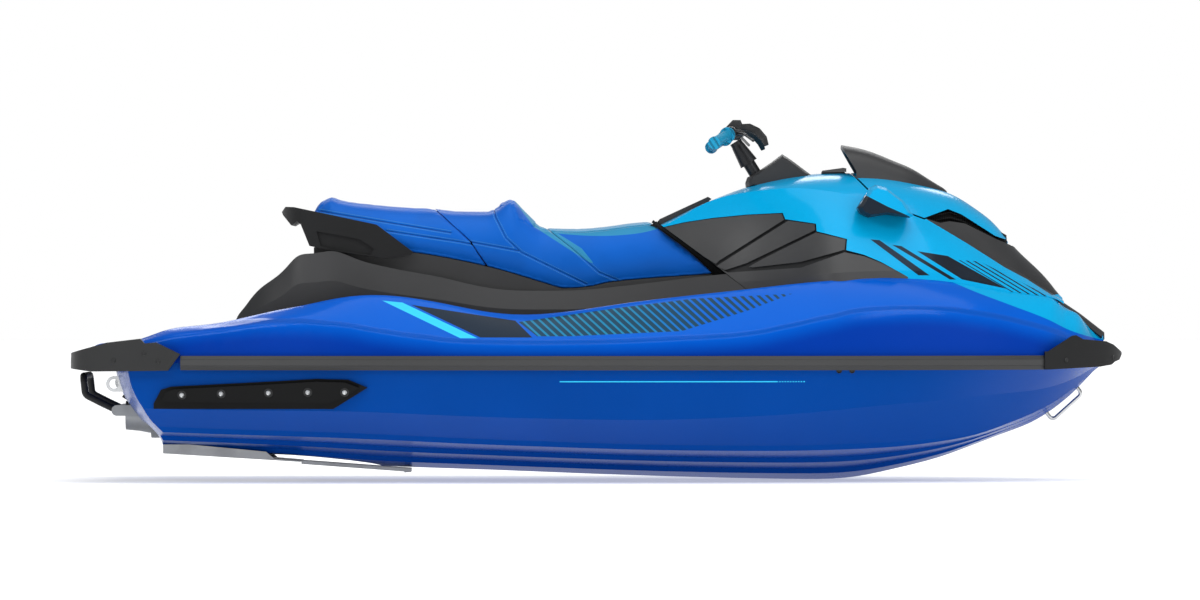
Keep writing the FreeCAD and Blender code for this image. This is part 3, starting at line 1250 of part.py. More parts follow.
def boarding_step():
    """Build the folding boarding step: two arms, a cross bar and two hinge eyes."""
    y = number(D.step_half_width)
    arm = [(along(a), up(b)) for a, b in STEP_PATH_SHARES]
    hinge = step_hinge()
    side = [(hinge.x, hinge.z)] + arm
    path = [Vector(a, -y, b) for a, b in side] + [Vector(a, y, b) for a, b in reversed(side)]
    shape = tube(path, number(D.step_tube), number(D.step_tube) * 2)
    eyes = []
    wide = number(D.step_eye_width)
    for middle in (-y, y):
        eyes.append(Part.makeCylinder(number(D.step_eye), wide, step_hinge(middle - wide / 2),
                                      Vector(0, 1, 0)))
    hole = Part.makeCylinder(number(D.pivot_radius + D.pivot_clearance), 4 * y,
                             step_hinge(-2 * y), Vector(0, 1, 0))
    return shape.fuse(eyes).cut(hole)


def step_brackets():
    """Build the two hinge brackets of the boarding step on the transom."""
    wide = number(D.step_eye_width)
    cheek = number(D.eye_thickness)
    shapes = []
    for middle in (-number(D.step_half_width), number(D.step_half_width)):
        reach = wide / 2 + number(D.panel_gap) * 1.3
        parts = []
        for y in (middle - reach - cheek, middle + reach):
            eye = Part.makeCylinder(number(D.step_eye), cheek, step_hinge(y), Vector(0, 1, 0))
            root = box_between((step_hinge().x, y, step_hinge().z - number(D.step_eye)),
                               (along(-0.41), y + cheek, step_hinge().z + number(D.step_eye)))
            parts.append(eye.fuse(root))
        pin = Part.makeCylinder(number(D.pivot_radius), 2 * (reach + cheek),
                                step_hinge(middle - reach - cheek), Vector(0, 1, 0))
        shapes.append(pin.fuse(parts).common(transom_tool()))
    return Part.makeCompound(shapes)


EYE_SHARES = (-0.4611, 0.0356)


def stern_eyes():
    """Build the two towing eyes on the transom."""
    shapes = []
    thick = number(D.eye_thickness)
    radius = number(D.eye_radius)
    for middle in (-number(D.eye_half_spacing), number(D.eye_half_spacing)):
        place = Vector(along(EYE_SHARES[0]), middle - thick / 2, up(EYE_SHARES[1]))
        ring = Part.makeCylinder(radius, thick, place, Vector(0, 1, 0))
        root = box_between((place.x, place.y, place.z - radius),
                           (place.x + radius * 4, place.y + thick, place.z + radius))
        hole = Part.makeCylinder(number(D.eye_bore), thick, place, Vector(0, 1, 0))
        shapes.append(ring.fuse(root).cut(hole).common(transom_tool()))
    return Part.makeCompound(shapes)


BOW_EYE_SHARES = ((0.4525, 0.0450), (0.4624, 0.0060), (0.4340, -0.0680), (0.4240, -0.0290))


def bow_eye(hull_full):
    """Build the towing eye on the stem: a bent rod."""
    path = [Vector(along(x), 0, up(z)) for x, z in BOW_EYE_SHARES]
    rod = tube(path, number(D.bow_eye_rod), number(D.bow_eye_rod) * 2.4)
    return rod.cut(hull_full)


def impeller():
    """Build the impeller: a hub with four twisted blades."""
    length = number(D.impeller_length)
    start = number(JET_X + D.pump_inlet_reach) - length * 1.65
    axis_z = number(JET_Z)
    hub_radius = number(D.hub_radius)
    tip = number(D.pump_bore - D.impeller_tip_gap)
    hub = Part.makeCylinder(hub_radius, length, Vector(start, 0, axis_z), Vector(1, 0, 0))
    blades = []
    for turn in (0, 90, 180, 270):
        wires = []
        for radius, angle in ((hub_radius * 0.8, 38), (tip * 1.03, 64)):
            lean = math.radians(angle)
            run_x, run_y = length * 0.46, length * 0.46 * math.tan(lean) * 0.55
            thick = number(D.blade_thickness) / 2
            corners = [(-run_x, -run_y - thick), (run_x, run_y - thick), (run_x, run_y + thick),
                       (-run_x, -run_y + thick)]
            points = [Vector(x, y, radius) for x, y in corners]
            wires.append(Part.makePolygon(points + points[:1]))
        blade = Part.makeLoft(wires, True, True)
        blade.rotate(Vector(0, 0, 0), Vector(1, 0, 0), turn)
        blade.translate(Vector(start + length / 2, 0, axis_z))
        blades.append(blade)
    sweep = Part.makeCylinder(tip, length, Vector(start, 0, axis_z), Vector(1, 0, 0))
    bore = Part.makeCylinder(number(D.shaft_radius + D.shaft_clearance), length * 2,
                             Vector(start - length / 2, 0, axis_z), Vector(1, 0, 0))
    return hub.fuse(blades).common(sweep).cut(bore)


# Pieces driven through sketches, pads and primitives
def drive(item, sizes):
    """Tie properties of an item to sizes of the sheet."""
    for path, size in sizes.items():
        item.setExpression(path, words(size))


def body_for(label, place=None):
    """Add an empty body, placed by sizes."""
    body = DOCUMENT.addObject("PartDesign::Body", label)
    body.Label = label
    for axis, size in (place or {}).items():
        drive(body, {"Placement.Base." + axis: size})
    PIECES.append(body)
    return body


def sketch_on(body, plane, name, offset=None):
    """Add an empty sketch on one of a body's planes, moved off it where that is asked."""
    sketch = body.newObject("Sketcher::SketchObject", name)
    support = [item for item in body.Origin.OriginFeatures if item.Role == plane][0]
    sketch.AttachmentSupport = (support, [""])
    sketch.MapMode = "FlatFace"
    if offset is not None:
        drive(sketch, {"AttachmentOffset.Base.z": offset})
    return sketch


def pin_point(sketch, geometry, point, place):
    """Hold one point of a sketch at sizes from its origin."""
    for kind, axis, size in (("DistanceX", -2, place[0]), ("DistanceY", -1, place[1])):
        if number(size) == 0:
            sketch.addConstraint(Sketcher.Constraint("PointOnObject", geometry, point, axis))
        else:
            index = sketch.addConstraint(Sketcher.Constraint(kind, -1, 1, geometry, point,
                                                             number(size)))
            drive(sketch, {"Constraints[%d]" % index: size})


def polygon_sketch(body, plane, name, corners, offset=None):
    """Add a sketch of a closed outline whose corners are all driven by sizes."""
    sketch = sketch_on(body, plane, name, offset)
    points = [Vector(number(a), number(b), 0) for a, b in corners]
    lines = [Part.LineSegment(a, b) for a, b in zip(points, points[1:] + points[:1])]
    sketch.addGeometry(lines, False)
    count = len(points)
    for k in range(count):
        sketch.addConstraint(Sketcher.Constraint("Coincident", k, 2, (k + 1) % count, 1))
    for k, corner in enumerate(corners):
        pin_point(sketch, k, 1, corner)
    return sketch


def circle_sketch(body, plane, name, circles, offset=None):
    """Add a sketch of circles, each (across, up, radius)."""
    sketch = sketch_on(body, plane, name, offset)
    for k, (a, b, radius) in enumerate(circles):
        centre = Vector(number(a), number(b), 0)
        sketch.addGeometry(Part.Circle(centre, Vector(0, 0, 1), number(radius)), False)
        index = sketch.addConstraint(Sketcher.Constraint("Radius", k, number(radius)))
        drive(sketch, {"Constraints[%d]" % index: radius})
        pin_point(sketch, k, 3, (a, b))
    return sketch


def extrude(body, kind, sketch, name, length, symmetric=True):
    """Add a pad or a pocket of a sketch."""
    feature = body.newObject("PartDesign::" + kind, name)
    feature.Profile = sketch
    drive(feature, {"Length": length})
    if symmetric:
        feature.SideType = "Symmetric"
    return feature


def revolve(body, kind, sketch, name):
    """Add a full turn of a sketch about its level axis, or cut one away."""
    feature = body.newObject("PartDesign::" + kind, name)
    feature.Profile = sketch
    feature.ReferenceAxis = (sketch, ["H_Axis"])
    feature.Angle = 360
    return feature


def pump_housing():
    """Build the pump: bore, outlet cone, inlet flange, stator hub, vanes and pivot ears."""
    body = body_for("pump_housing", {"x": JET_X, "z": JET_Z})
    bore, wall = D.pump_bore, D.pump_wall
    inlet, outlet = D.pump_inlet_reach, D.pump_outlet_reach
    cone, barrel = outlet * 1.8, inlet * 0.53
    waist = bore * 0.66
    rim = D.flange_radius
    lip = inlet - D.flange_thickness
    profile = polygon_sketch(body, "XZ_Plane", "pump_profile", [
        (outlet, D.outlet_bore), (cone, waist), (barrel, bore), (inlet, bore), (inlet, rim),
        (lip, rim), (lip, bore + wall), (barrel, bore + wall), (cone, waist + wall),
        (outlet, D.outlet_bore + wall * 0.8)])
    revolve(body, "Revolution", profile, "pump_casting")
    vane = polygon_sketch(body, "XZ_Plane", "vane_outline", [
        (inlet * 0.385, D.hub_radius * 0.5), (inlet * 0.385, bore * 0.84),
        (barrel, bore + wall * 0.4), (inlet * 0.573, bore + wall * 0.4),
        (inlet * 0.573, D.hub_radius * 0.5)])
    pad = extrude(body, "Pad", vane, "vane", D.blade_thickness)
    ring = body.newObject("PartDesign::PolarPattern", "vanes")
    ring.Originals = [pad]
    ring.Axis = ([item for item in body.Origin.OriginFeatures if item.Role == "X_Axis"][0], [""])
    ring.Angle = 360
    ring.Occurrences = 6
    body.Tip = ring
    hub = D.hub_radius
    shaft = D.shaft_radius + D.shaft_clearance
    core = polygon_sketch(body, "XZ_Plane", "hub_profile", [
        (outlet * 1.1, 0), (outlet * 1.1, hub * 0.4), (outlet * 1.6, hub * 0.85),
        (outlet * 2.1, hub), (inlet * 0.579, hub), (inlet * 0.579, shaft), (inlet * 0.42, shaft),
        (inlet * 0.42, 0)])
    revolve(body, "Revolution", core, "stator_hub")
    clear = circle_sketch(body, "YZ_Plane", "shaft_room", [(0, 0, shaft)], inlet * 0.42)
    extrude(body, "Pocket", clear, "bearing", inlet, False).Reversed = True
    tall = D.pivot_radius * 2
    for name, side in (("starboard", -1), ("port", 1)):
        ear = polygon_sketch(body, "XZ_Plane", name + "_ear_outline", [
            (-tall, -tall), (inlet * 0.48, -tall), (inlet * 0.48, tall), (-tall, tall)],
            (D.ear_inner + D.ear_thickness / 2) * -side)
        extrude(body, "Pad", ear, name + "_ear", D.ear_thickness)
    hole = circle_sketch(body, "XZ_Plane", "ear_holes",
                         [(0, 0, D.pivot_radius + D.pivot_clearance)])
    extrude(body, "Pocket", hole, "ear_bores", D.ear_inner * 3)


def trim_ring():
    """Build the gimbal ring between the pump's ears and the nozzle."""
    body = body_for("trim_ring", {"x": JET_X, "z": JET_Z})
    bore, rim = D.ring_bore, D.ring_bore + D.ring_wall
    half = D.ring_length / 2
    profile = polygon_sketch(body, "XZ_Plane", "ring_profile",
                             [(-half, bore), (half, bore), (half, rim), (-half, rim)])
    revolve(body, "Revolution", profile, "ring")
    reach = D.ear_inner + D.ear_thickness * 0.45
    for name, side in (("starboard", -1), ("port", 1)):
        pin = circle_sketch(body, "XZ_Plane", name + "_pin_outline", [(0, 0, D.pivot_radius)],
                            (reach + bore + D.ring_wall * 0.3) / 2 * -side)
        extrude(body, "Pad", pin, name + "_pin", reach - bore - D.ring_wall * 0.3)
    hole = circle_sketch(body, "XY_Plane", "nozzle_pin_holes",
                         [(0, 0, D.pivot_radius + D.pivot_clearance)])
    extrude(body, "Pocket", hole, "nozzle_bearings", rim * 3)


def nozzle():
    """Build the steering nozzle with its upper and lower pivot pins."""
    body = body_for("steering_nozzle", {"x": JET_X, "z": JET_Z})
    lead, length = D.nozzle_lead, D.nozzle_length
    bore, wall = D.nozzle_bore, D.nozzle_wall
    exit_bore = D.nozzle_exit_bore
    profile = polygon_sketch(body, "XZ_Plane", "nozzle_profile", [
        (lead, bore), (lead, bore + wall), (-lead, bore + wall),
        (-length * 0.55, exit_bore + wall * 1.7), (-length, exit_bore + wall),
        (-length, exit_bore), (-length * 0.55, exit_bore + wall * 0.7), (-lead, bore)])
    revolve(body, "Revolution", profile, "nozzle_cone")
    reach = D.ring_bore + D.ring_wall
    for name, side in (("lower", -1), ("upper", 1)):
        pin = circle_sketch(body, "XY_Plane", name + "_pin_outline", [(0, 0, D.pivot_radius)],
                            (reach + bore + wall * 0.3) / 2 * side)
        extrude(body, "Pad", pin, name + "_pin", reach - bore - wall * 0.3)


def primitive(kind, name, sizes, place, turn=None):
    """Add a primitive solid driven by sizes, placed by sizes, turned where that is asked."""
    item = DOCUMENT.addObject("Part::" + kind, name)
    if turn is not None:
        item.Placement = Placement(Vector(0, 0, 0), turn)
    drive(item, sizes)
    for axis, size in zip("xyz", place):
        drive(item, {"Placement.Base." + axis: size})
    return item


def joined(label, kind, items):
    """Add a boolean of items as a named piece."""
    item = DOCUMENT.addObject("Part::" + kind, label)
    item.Label = label
    if kind == "Cut":
        item.Base, item.Tool = items
    else:
        item.Shapes = items
    return item


def reverse_bucket():
    """Build the reverse bucket: a curved shell between two cheeks on pivot pins."""
    start = math.radians(30)
    ahead = Vector(-math.cos(start), 0, math.sin(start))
    over = Vector(math.sin(start), 0, math.cos(start))
    turn = Rotation(ahead, over, Vector(0, 1, 0), "XYZ")
    level = Rotation(Vector(1, 0, 0), -90)
    half = D.bucket_half_width
    sector = primitive("Cylinder", "bucket_sector", {
        "Radius": D.bucket_radius + D.bucket_wall, "Height": half * 2},
        (JET_X, -half, JET_Z), turn)
    sector.Angle = 76
    inside = half - D.bucket_wall
    room = primitive("Cylinder", "bucket_room", {"Radius": D.bucket_radius, "Height": inside * 2},
                     (JET_X, -inside, JET_Z), turn)
    shell = joined("bucket_shell", "Cut", (sector, room))
    parts = [shell]
    pin_start = D.ear_inner + D.ear_thickness * 0.55
    for name, side in (("starboard", -1), ("port", 1)):
        boss_y = inside if side > 0 else -half
        pin_y = pin_start if side > 0 else -inside - D.seam / 5
        parts.append(primitive("Cylinder", name + "_bucket_boss", {
            "Radius": D.pivot_radius * 2, "Height": D.bucket_wall}, (JET_X, boss_y, JET_Z), level))
        parts.append(primitive("Cylinder", name + "_bucket_pin", {
            "Radius": D.pivot_radius, "Height": inside - pin_start + D.seam / 5},
            (JET_X, pin_y, JET_Z), level))
    PIECES.append(joined("reverse_bucket", "MultiFuse", parts))


def ride_plate():
    """Build the ride plate under the jet: a shallow tray with a thin front."""
    body = body_for("ride_plate")
    length, height = LENGTH, HEIGHT
    rear, front = length * -0.4161, length * -0.3146
    outline = [
        (rear, height * -0.1330), (rear, height * -0.1580), (front, height * -0.1760),
        (length * -0.2850, height * -0.1815), (length * -0.2850, height * -0.1785),
        (length * -0.3100, height * -0.1725), (length * -0.3180, height * -0.1530),
        (length * -0.3910, height * -0.1330)]
    sketch = polygon_sketch(body, "XZ_Plane", "plate_outline", outline)
    extrude(body, "Pad", sketch, "plate_block", D.plate_half_width * 2)
    thick = D.plate_thickness
    inner = [
        (rear - thick, height * -0.1200), (rear - thick, height * -0.1580 + thick),
        (front, height * -0.1760 + thick), (length * -0.2800, height * -0.1785),
        (length * -0.2800, height * -0.1200)]
    hollow = polygon_sketch(body, "XZ_Plane", "plate_inside", inner)
    extrude(body, "Pocket", hollow, "plate_hollow", (D.plate_half_width - thick) * 2)


def intake_grate():
    """Build the grate across the water intake."""
    body = body_for("intake_grate")
    bar = D.grate_bar
    rear, front = LENGTH * -0.2849, LENGTH * -0.1800
    rear_z, front_z = HEIGHT * -0.1786, HEIGHT * -0.2010
    outline = [(rear, rear_z), (front, front_z), (front, front_z - bar), (rear, rear_z - bar)]
    for k in (0, -1, 1, -2, 2):
        sketch = polygon_sketch(body, "XZ_Plane", "bar_outline_%d" % (k + 3), outline,
                                D.grate_spacing * k)
        extrude(body, "Pad", sketch, "bar_%d" % (k + 3), bar)
        if k == 0:
            cross_bars(body, rear, rear_z, front, front_z)


def cross_bars(body, rear, rear_z, front, front_z):
    """Add the two cross bars that join the bars of the intake grate."""
    bar = D.grate_bar
    for name, x, z, side in (("rear", rear, rear_z, 2), ("front", front, front_z, -2)):
        outline = [(x, z), (x + bar * side, z - bar * 0.15), (x + bar * side, z - bar * 1.15),
                   (x, z - bar)]
        cross = polygon_sketch(body, "XZ_Plane", name + "_cross_outline", outline)
        extrude(body, "Pad", cross, name + "_cross_bar", D.grate_spacing * 4 + bar)


def simple_pieces():
    """Build the pieces that are plain pads, pockets and primitives."""
    width, tall = D.engine_width, D.engine_height
    engine = primitive("Box", "engine", {
        "Length": D.engine_length, "Width": width, "Height": tall},
        (LENGTH * BAY_CENTRE_SHARE - D.engine_length / 2, -width / 2, -D.bay_floor))
    PIECES.append(engine)
    shaft_start = JET_X + D.pump_inlet_reach * 0.445
    engine_rear = LENGTH * BAY_CENTRE_SHARE - D.engine_length / 2
    shaft = primitive("Cylinder", "drive_shaft", {
        "Radius": D.shaft_radius, "Height": engine_rear - shaft_start},
        (shaft_start, 0, JET_Z), Rotation(Vector(0, 1, 0), 90))
    PIECES.append(shaft)
    body = body_for("display")
    face = polygon_sketch(body, "XZ_Plane", "display_outline", [
        (LENGTH * 0.2120, HEIGHT * 0.6215), (LENGTH * 0.2360, HEIGHT * 0.6225),
        (LENGTH * 0.2360, HEIGHT * 0.6330), (LENGTH * 0.2330, HEIGHT * 0.6345),
        (LENGTH * 0.2130, HEIGHT * 0.6265)])
    extrude(body, "Pad", face, "display_block", D.visor_half_width * 0.9)
    body = body_for("storage_tub")
    outer = [(LENGTH * x, HEIGHT * z) for x, z in TUB_OUTLINE]
    extrude(body, "Pad", polygon_sketch(body, "XZ_Plane", "tub_outline", outer), "tub_block",
            D.tub_half_width * 2)
    wall = D.tub_wall
    (a, a_top), (b, b_low), (c, c_low), (d, d_mid), (e, e_top) = outer
    inner = [(a + wall, a_top + D.overrun), (b + wall, b_low + wall), (c, c_low + wall),
             (d - wall, d_mid + wall), (e - wall, e_top + D.overrun)]
    extrude(body, "Pocket", polygon_sketch(body, "XZ_Plane", "tub_inside", inner), "tub_room",
            (D.tub_half_width - wall) * 2)
    lid_pieces()


def bin_tool():
    """Give the space that the glovebox bin takes out of the seat."""
    wide = number(D.lid_half_width)
    return box_between((along(0.0545), -wide, up(0.395)), (along(0.20), wide, up(0.60)))


def lid_pieces():
    """Build the glovebox lid and the bin below it."""
    rear, front = LENGTH * 0.0575, LENGTH * 0.1048
    rear_z, front_z = HEIGHT * 0.4805, HEIGHT * 0.5425
    thick = D.lid_thickness
    body = body_for("glovebox_lid")
    outline = [(rear, rear_z), (front, front_z), (front + thick * 0.6, front_z + thick * 0.45),
               (front - thick * 0.3, front_z + thick), (rear, rear_z + thick),
               (rear - thick * 0.5, rear_z + thick * 0.4)]
    extrude(body, "Pad", polygon_sketch(body, "XZ_Plane", "lid_outline", outline), "lid_plate",
            D.lid_half_width * 2)
    skirt = [(rear, rear_z + thick * 0.2), (front, front_z + thick * 0.2),
             (front, front_z - thick * 0.3), (rear, rear_z - thick * 0.6)]
    for name, side in (("port", 1), ("starboard", -1)):
        edge = polygon_sketch(body, "XZ_Plane", name + "_skirt_outline", skirt,
                              (D.lid_half_width - D.tub_wall / 2) * side)
        extrude(body, "Pad", edge, name + "_skirt", D.tub_wall)
    body = body_for("glovebox_bin")
    drop = D.bin_depth
    wide = D.lid_half_width - D.skin - D.seam / 2
    rear, front = LENGTH * 0.0572, LENGTH * 0.1044
    gap = D.panel_gap * 2
    outer = [(rear, rear_z - gap), (front, front_z - gap), (front, front_z - gap - drop),
             (rear, front_z - gap - drop)]
    extrude(body, "Pad", polygon_sketch(body, "XZ_Plane", "bin_outline", outer), "bin_block",
            wide * 2)
    wall = D.tub_wall
    inner = [(rear + wall, rear_z + gap), (front - wall, front_z + gap),
             (front - wall, front_z - gap - drop + wall), (rear + wall, front_z - gap - drop + wall)]
    extrude(body, "Pocket", polygon_sketch(body, "XZ_Plane", "bin_inside", inner), "bin_room",
            (wide - wall) * 2)


def build_machinery():
    """Build every piece that is driven through sketches or primitives."""
    pump_housing()
    trim_ring()
    nozzle()
    reverse_bucket()
    ride_plate()
    intake_grate()
    simple_pieces()


def build_steering():
    """Build the pieces that turn with the handlebar."""
    bar = handlebar()
    column = steering_column()
    piece("handlebar", bar.cut(column))
    piece("steering_column", column)
    piece("grips", grips(bar))
    piece("hand_controls", hand_controls(bar))
    piece("bar_pad", bar_pad(bar, column))


def build_fittings(hull_full, deck_full):
    """Build the fittings of the stern, the bow and the deck."""
    piece("boarding_step", boarding_step())
    piece("step_brackets", step_brackets())
    piece("stern_eyes", stern_eyes())
    piece("bow_eye", bow_eye(hull_full))
    piece("impeller", impeller())
    piece("deck_mats", deck_mats())
    piece("nose_strip", nose_strip(deck_full))


def build_body(hull_full, deck_full):
    """Build the hull, the deck, the bumpers and the seats."""
    deck_solid = deck()
    piece("hull", hull())
    piece("deck", deck_solid)
    piece("rub_rail", rub_rail(hull_full, deck_full))
    piece("bow_bumper", bow_bumper(hull_full, deck_full).cut(deck_solid))
    piece("stern_bumper", stern_bumper(hull_full, deck_full))
    thin = number(D.sponson_thickness) * 0.3
    port = sponson(hull_full, hull_form(thin), hull_form(number(D.sponson_thickness)))
    piece("sponson_left", port)
    piece("sponson_right", mirrored(port))
    piece("seat_base", seat_base())
    piece("rear_seat", seat(REAR_SEAT_TOP_SHARES, REAR_SEAT_WIDTH_SHARES,
                            REAR_SEAT_STATION_SHARES, REAR_SEAT_OUTLINE))
    front = seat(FRONT_SEAT_TOP_SHARES, FRONT_SEAT_WIDTH_SHARES, FRONT_SEAT_STATION_SHARES,
                 FRONT_SEAT_OUTLINE)
    piece("front_seat", front.cut(bin_tool()))
    piece("grab_handle", grab_handle())
    return deck_solid


def build_cowl(deck_solid):
    """Build the panels above the deck and what stands on them."""
    for name, shape in cowl_panels(deck_solid).items():
        piece(name, shape)
    piece("hood_hinge", hood_hinge())
    piece("steering_cover", steering_cover())
    piece("visor", visor())
    port = mirror()
    piece("mirror_left", port)
    piece("mirror_right", mirrored(port))


def build_all():
    """Build every piece of the craft."""
    build_machinery()
    build_steering()
    hull_full = hull_form(number(D.fit_gap))
    deck_full = deck_form(number(D.fit_gap))
    build_fittings(hull_full, deck_full)
    deck_solid = build_body(hull_full, deck_full)
    build_cowl(deck_solid)
    DOCUMENT.recompute()


# Checks and export

def export_pieces():
    """Stop on any failed object or bad shape, then write each piece to its own file."""
    for item in DOCUMENT.Objects:
        if "Invalid" in item.State or "Error" in item.State:
            raise RuntimeError("object %s failed: %s" % (item.Label, item.State))
    for item in PIECES:
        if item.Shape.isNull() or not item.Shape.isValid() or not item.Shape.Solids:
            raise RuntimeError("piece %s has a bad shape" % item.Label)
    os.makedirs("parts", exist_ok=True)
    for item in PIECES:
        item.Shape.exportStep("parts/%s.step" % item.Label)
        print(item.Label, len(item.Shape.Solids), "solids")


build_all()
export_pieces()
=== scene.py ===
"""Finishes, seats, fittings and studio of a runabout personal watercraft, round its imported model."""

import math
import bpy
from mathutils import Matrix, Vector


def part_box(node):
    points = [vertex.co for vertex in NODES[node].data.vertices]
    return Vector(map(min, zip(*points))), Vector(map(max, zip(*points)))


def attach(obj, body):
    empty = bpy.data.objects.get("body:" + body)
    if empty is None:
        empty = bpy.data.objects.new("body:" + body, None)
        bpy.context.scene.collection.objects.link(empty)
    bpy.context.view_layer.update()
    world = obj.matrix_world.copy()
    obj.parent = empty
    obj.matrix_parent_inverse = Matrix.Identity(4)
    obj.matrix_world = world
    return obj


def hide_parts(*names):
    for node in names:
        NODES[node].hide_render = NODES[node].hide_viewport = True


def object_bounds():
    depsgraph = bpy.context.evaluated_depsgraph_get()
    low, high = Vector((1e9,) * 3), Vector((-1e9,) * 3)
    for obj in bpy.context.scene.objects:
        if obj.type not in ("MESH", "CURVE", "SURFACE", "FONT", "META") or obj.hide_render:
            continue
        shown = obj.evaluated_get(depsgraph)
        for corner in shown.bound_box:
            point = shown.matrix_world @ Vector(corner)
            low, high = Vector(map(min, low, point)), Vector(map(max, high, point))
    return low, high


bl_info = {
    "name": "Personal Watercraft",
    "version": (1, 0, 0),
    "blender": (4, 5, 0),
    "location": "View3D > Sidebar > Watercraft",
    "description": "Dresses the packed model of a personal watercraft",
    "category": "Object",
}

import bmesh
import bpy
from mathutils import Matrix, Vector, geometry

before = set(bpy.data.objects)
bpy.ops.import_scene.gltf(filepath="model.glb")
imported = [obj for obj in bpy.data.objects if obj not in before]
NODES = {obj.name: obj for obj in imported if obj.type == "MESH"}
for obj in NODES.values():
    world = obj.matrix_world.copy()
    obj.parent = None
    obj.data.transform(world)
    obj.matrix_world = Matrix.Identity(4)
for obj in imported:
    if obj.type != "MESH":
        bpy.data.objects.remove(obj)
CAD_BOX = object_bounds()

MM = 0.001

# Side outlines are pairs of millimetres: along from amidships, and up from the water.

# Painted bands on the deck's side
DECK_SLASH = [(-684, 306), (-621, 300), (-384, 188), (-437, 188)]
DECK_WEDGE = [(-593, 293), (-265, 243), (-211, 190), (-374, 190)]
DECK_HATCH = [(-255, 239), (-196, 194), (-94, 194), (258, 210), (462, 273), (608, 328),
              (291, 312), (65, 284)]
NOSE_BAND_FOOT = [(1040, 392), (1100, 372), (1200, 331), (1300, 294), (1418, 250), (1518, 205),
                  (1621, 178), (1680, 160)]

# Painted stripes on the front cowl
COWL_STRIPES = [
    [(858, 500), (887, 498), (1046, 386), (1010, 386)],
    [(927, 483), (957, 479), (1131, 373), (1111, 373)],
    [(1007, 463), (1106, 448), (1294, 344), (1151, 373)]]
COWL_THIN_LINES = [(1141, 435), (1210, 431), (1438, 319), (1324, 326)]

# Ridge along the deck's side, from stern to nose
DECK_RIDGE = [(-1300, 228), (-1146, 243), (-1004, 250), (-852, 243), (-700, 221), (-549, 200),
              (-397, 186), (-125, 183), (287, 198), (430, 207), (590, 234), (733, 265), (911, 290),
              (1045, 290), (1178, 277), (1356, 243), (1508, 198), (1600, 165)]

# Line along the hull's side, and its dashes
HULL_LINE = [(-125, 49.5), (557, 49.5), (557, 53), (-125, 53)]
HULL_DASHES = [(557, 49.5), (650, 49.5), (650, 53), (557, 53)]

# Cyan cap of the mirror housings
MIRROR_CAP = [(830, 720), (832, 645), (911, 604), (1000, 564), (1060, 556), (1060, 720)]

# Light band of the front seat
SEAT_BAND = [
    [(-300, 660), (-250, 640), (-165, 538), (-207, 539)],
    [(-207, 541), (-165, 541), (-57, 473), (-90, 465)],
    [(-90, 465), (-57, 473), (-20, 427), (-30, 427)]]
SEAT_RIM_FOOT = [(-260, 560), (-149, 523), (-80, 516), (-7, 513), (76, 516), (176, 533)]

# Sewn seams of the seats
REAR_SEAMS = [[(-900, 594), (-847, 585), (-473, 523)], [(-680, 529), (-448, 494), (-405, 486)]]
FRONT_SEAMS = [
    [(-420, 495), (-257, 465)],
    [(-339, 600), (-332, 573), (-298, 506), (-248, 460), (-157, 415), (-40, 357)],
    [(-176, 545), (-90, 476), (0, 395), (120, 345)]]
SEAT_TOP_SEAM = 0.098

# Places of screws and fittings on the sides
SPONSON_SCREWS = [(-1313, 9), (-1189, 13), (-1040, 16), (-916, 18), (-800, 18)]
BOW_SCREWS = [(1484, 117), (1643, 125)]
STERN_SCREWS = [(-1434, 140), (-1389, 114), (-1530, 118)]
HULL_OUTLETS = [(754, 86), (795, 86)]

# Top of the nose ahead of the hood, over the joint between hull and deck
NOSE_LINE = [(1420, 328), (1446, 318), (1541, 254), (1627, 187)]
NOSE_START = 1.440
NOSE_FOOT = 0.1125
NOSE_FADE = 0.045
NOSE_TIP = 1.604
NOSE_STRETCH = 1.5

# How far the display's pod reaches down into the cowl
POD_DEPTH = 0.030

# Seam between the front seat and its base, and the seam between the seats
SEAT_JOINTS = [
    [(172, 564), (359, 424), (459, 346), (461, 140)],
    [(-500, 462), (-430, 505), (-350, 572), (-322, 598)]]

# Cheeks inside the seats that close their seams, each as the corners of a grid
SEAT_CHEEKS = [[(140, 530), (182, 560), (300, 380), (420, 376)],
               [(-470, 452), (-350, 440), (-430, 500), (-330, 560)],
               [(-165, 328), (-75, 328), (-165, 366), (-75, 366)]]

# Air intakes below the hood: along, half-width and height of the opening's middle
INTAKE_LINE = [(1012, 222, 562), (1048, 205, 566), (1085, 182, 574), (1120, 161, 580), (1160, 142, 568),
               (1200, 128, 548), (1240, 113, 528), (1275, 96, 508), (1305, 84, 492)]


class Field:
    """A value that changes over a surface. Arithmetic on it adds Math nodes to its finish."""

    def __init__(self, finish, socket):
        self.finish = finish
        self.socket = socket

    def math(self, operation, *others):
        """Give the result of a Math node on this value and others."""
        node = self.finish.add("ShaderNodeMath", {"operation": operation}, [self, *others])
        return Field(self.finish, node.outputs[0])

    def __add__(self, other):
        return self.math("ADD", other)

    __radd__ = __add__

    def __sub__(self, other):
        return self.math("SUBTRACT", other)

    def __rsub__(self, other):
        return self.math("MULTIPLY", -1.0).math("ADD", other)

    def __mul__(self, other):
        return self.math("MULTIPLY", other)

    __rmul__ = __mul__

    def __truediv__(self, other):
        return self.math("DIVIDE", other)

    def __abs__(self):
        return self.math("ABSOLUTE")

    def lower(self, other):
        """Give the lower of two values."""
        return self.math("MINIMUM", other)

    def higher(self, other):
        """Give the higher of two values."""
        return self.math("MAXIMUM", other)

    def rise(self, start, end, low=0.0, high=1.0):
        """Go smoothly from low to high while the value goes from start to end."""
        node = self.finish.add(
            "ShaderNodeMapRange", {"interpolation_type": "SMOOTHSTEP"},
            [self, start, end, low, high])
        return Field(self.finish, node.outputs[0])


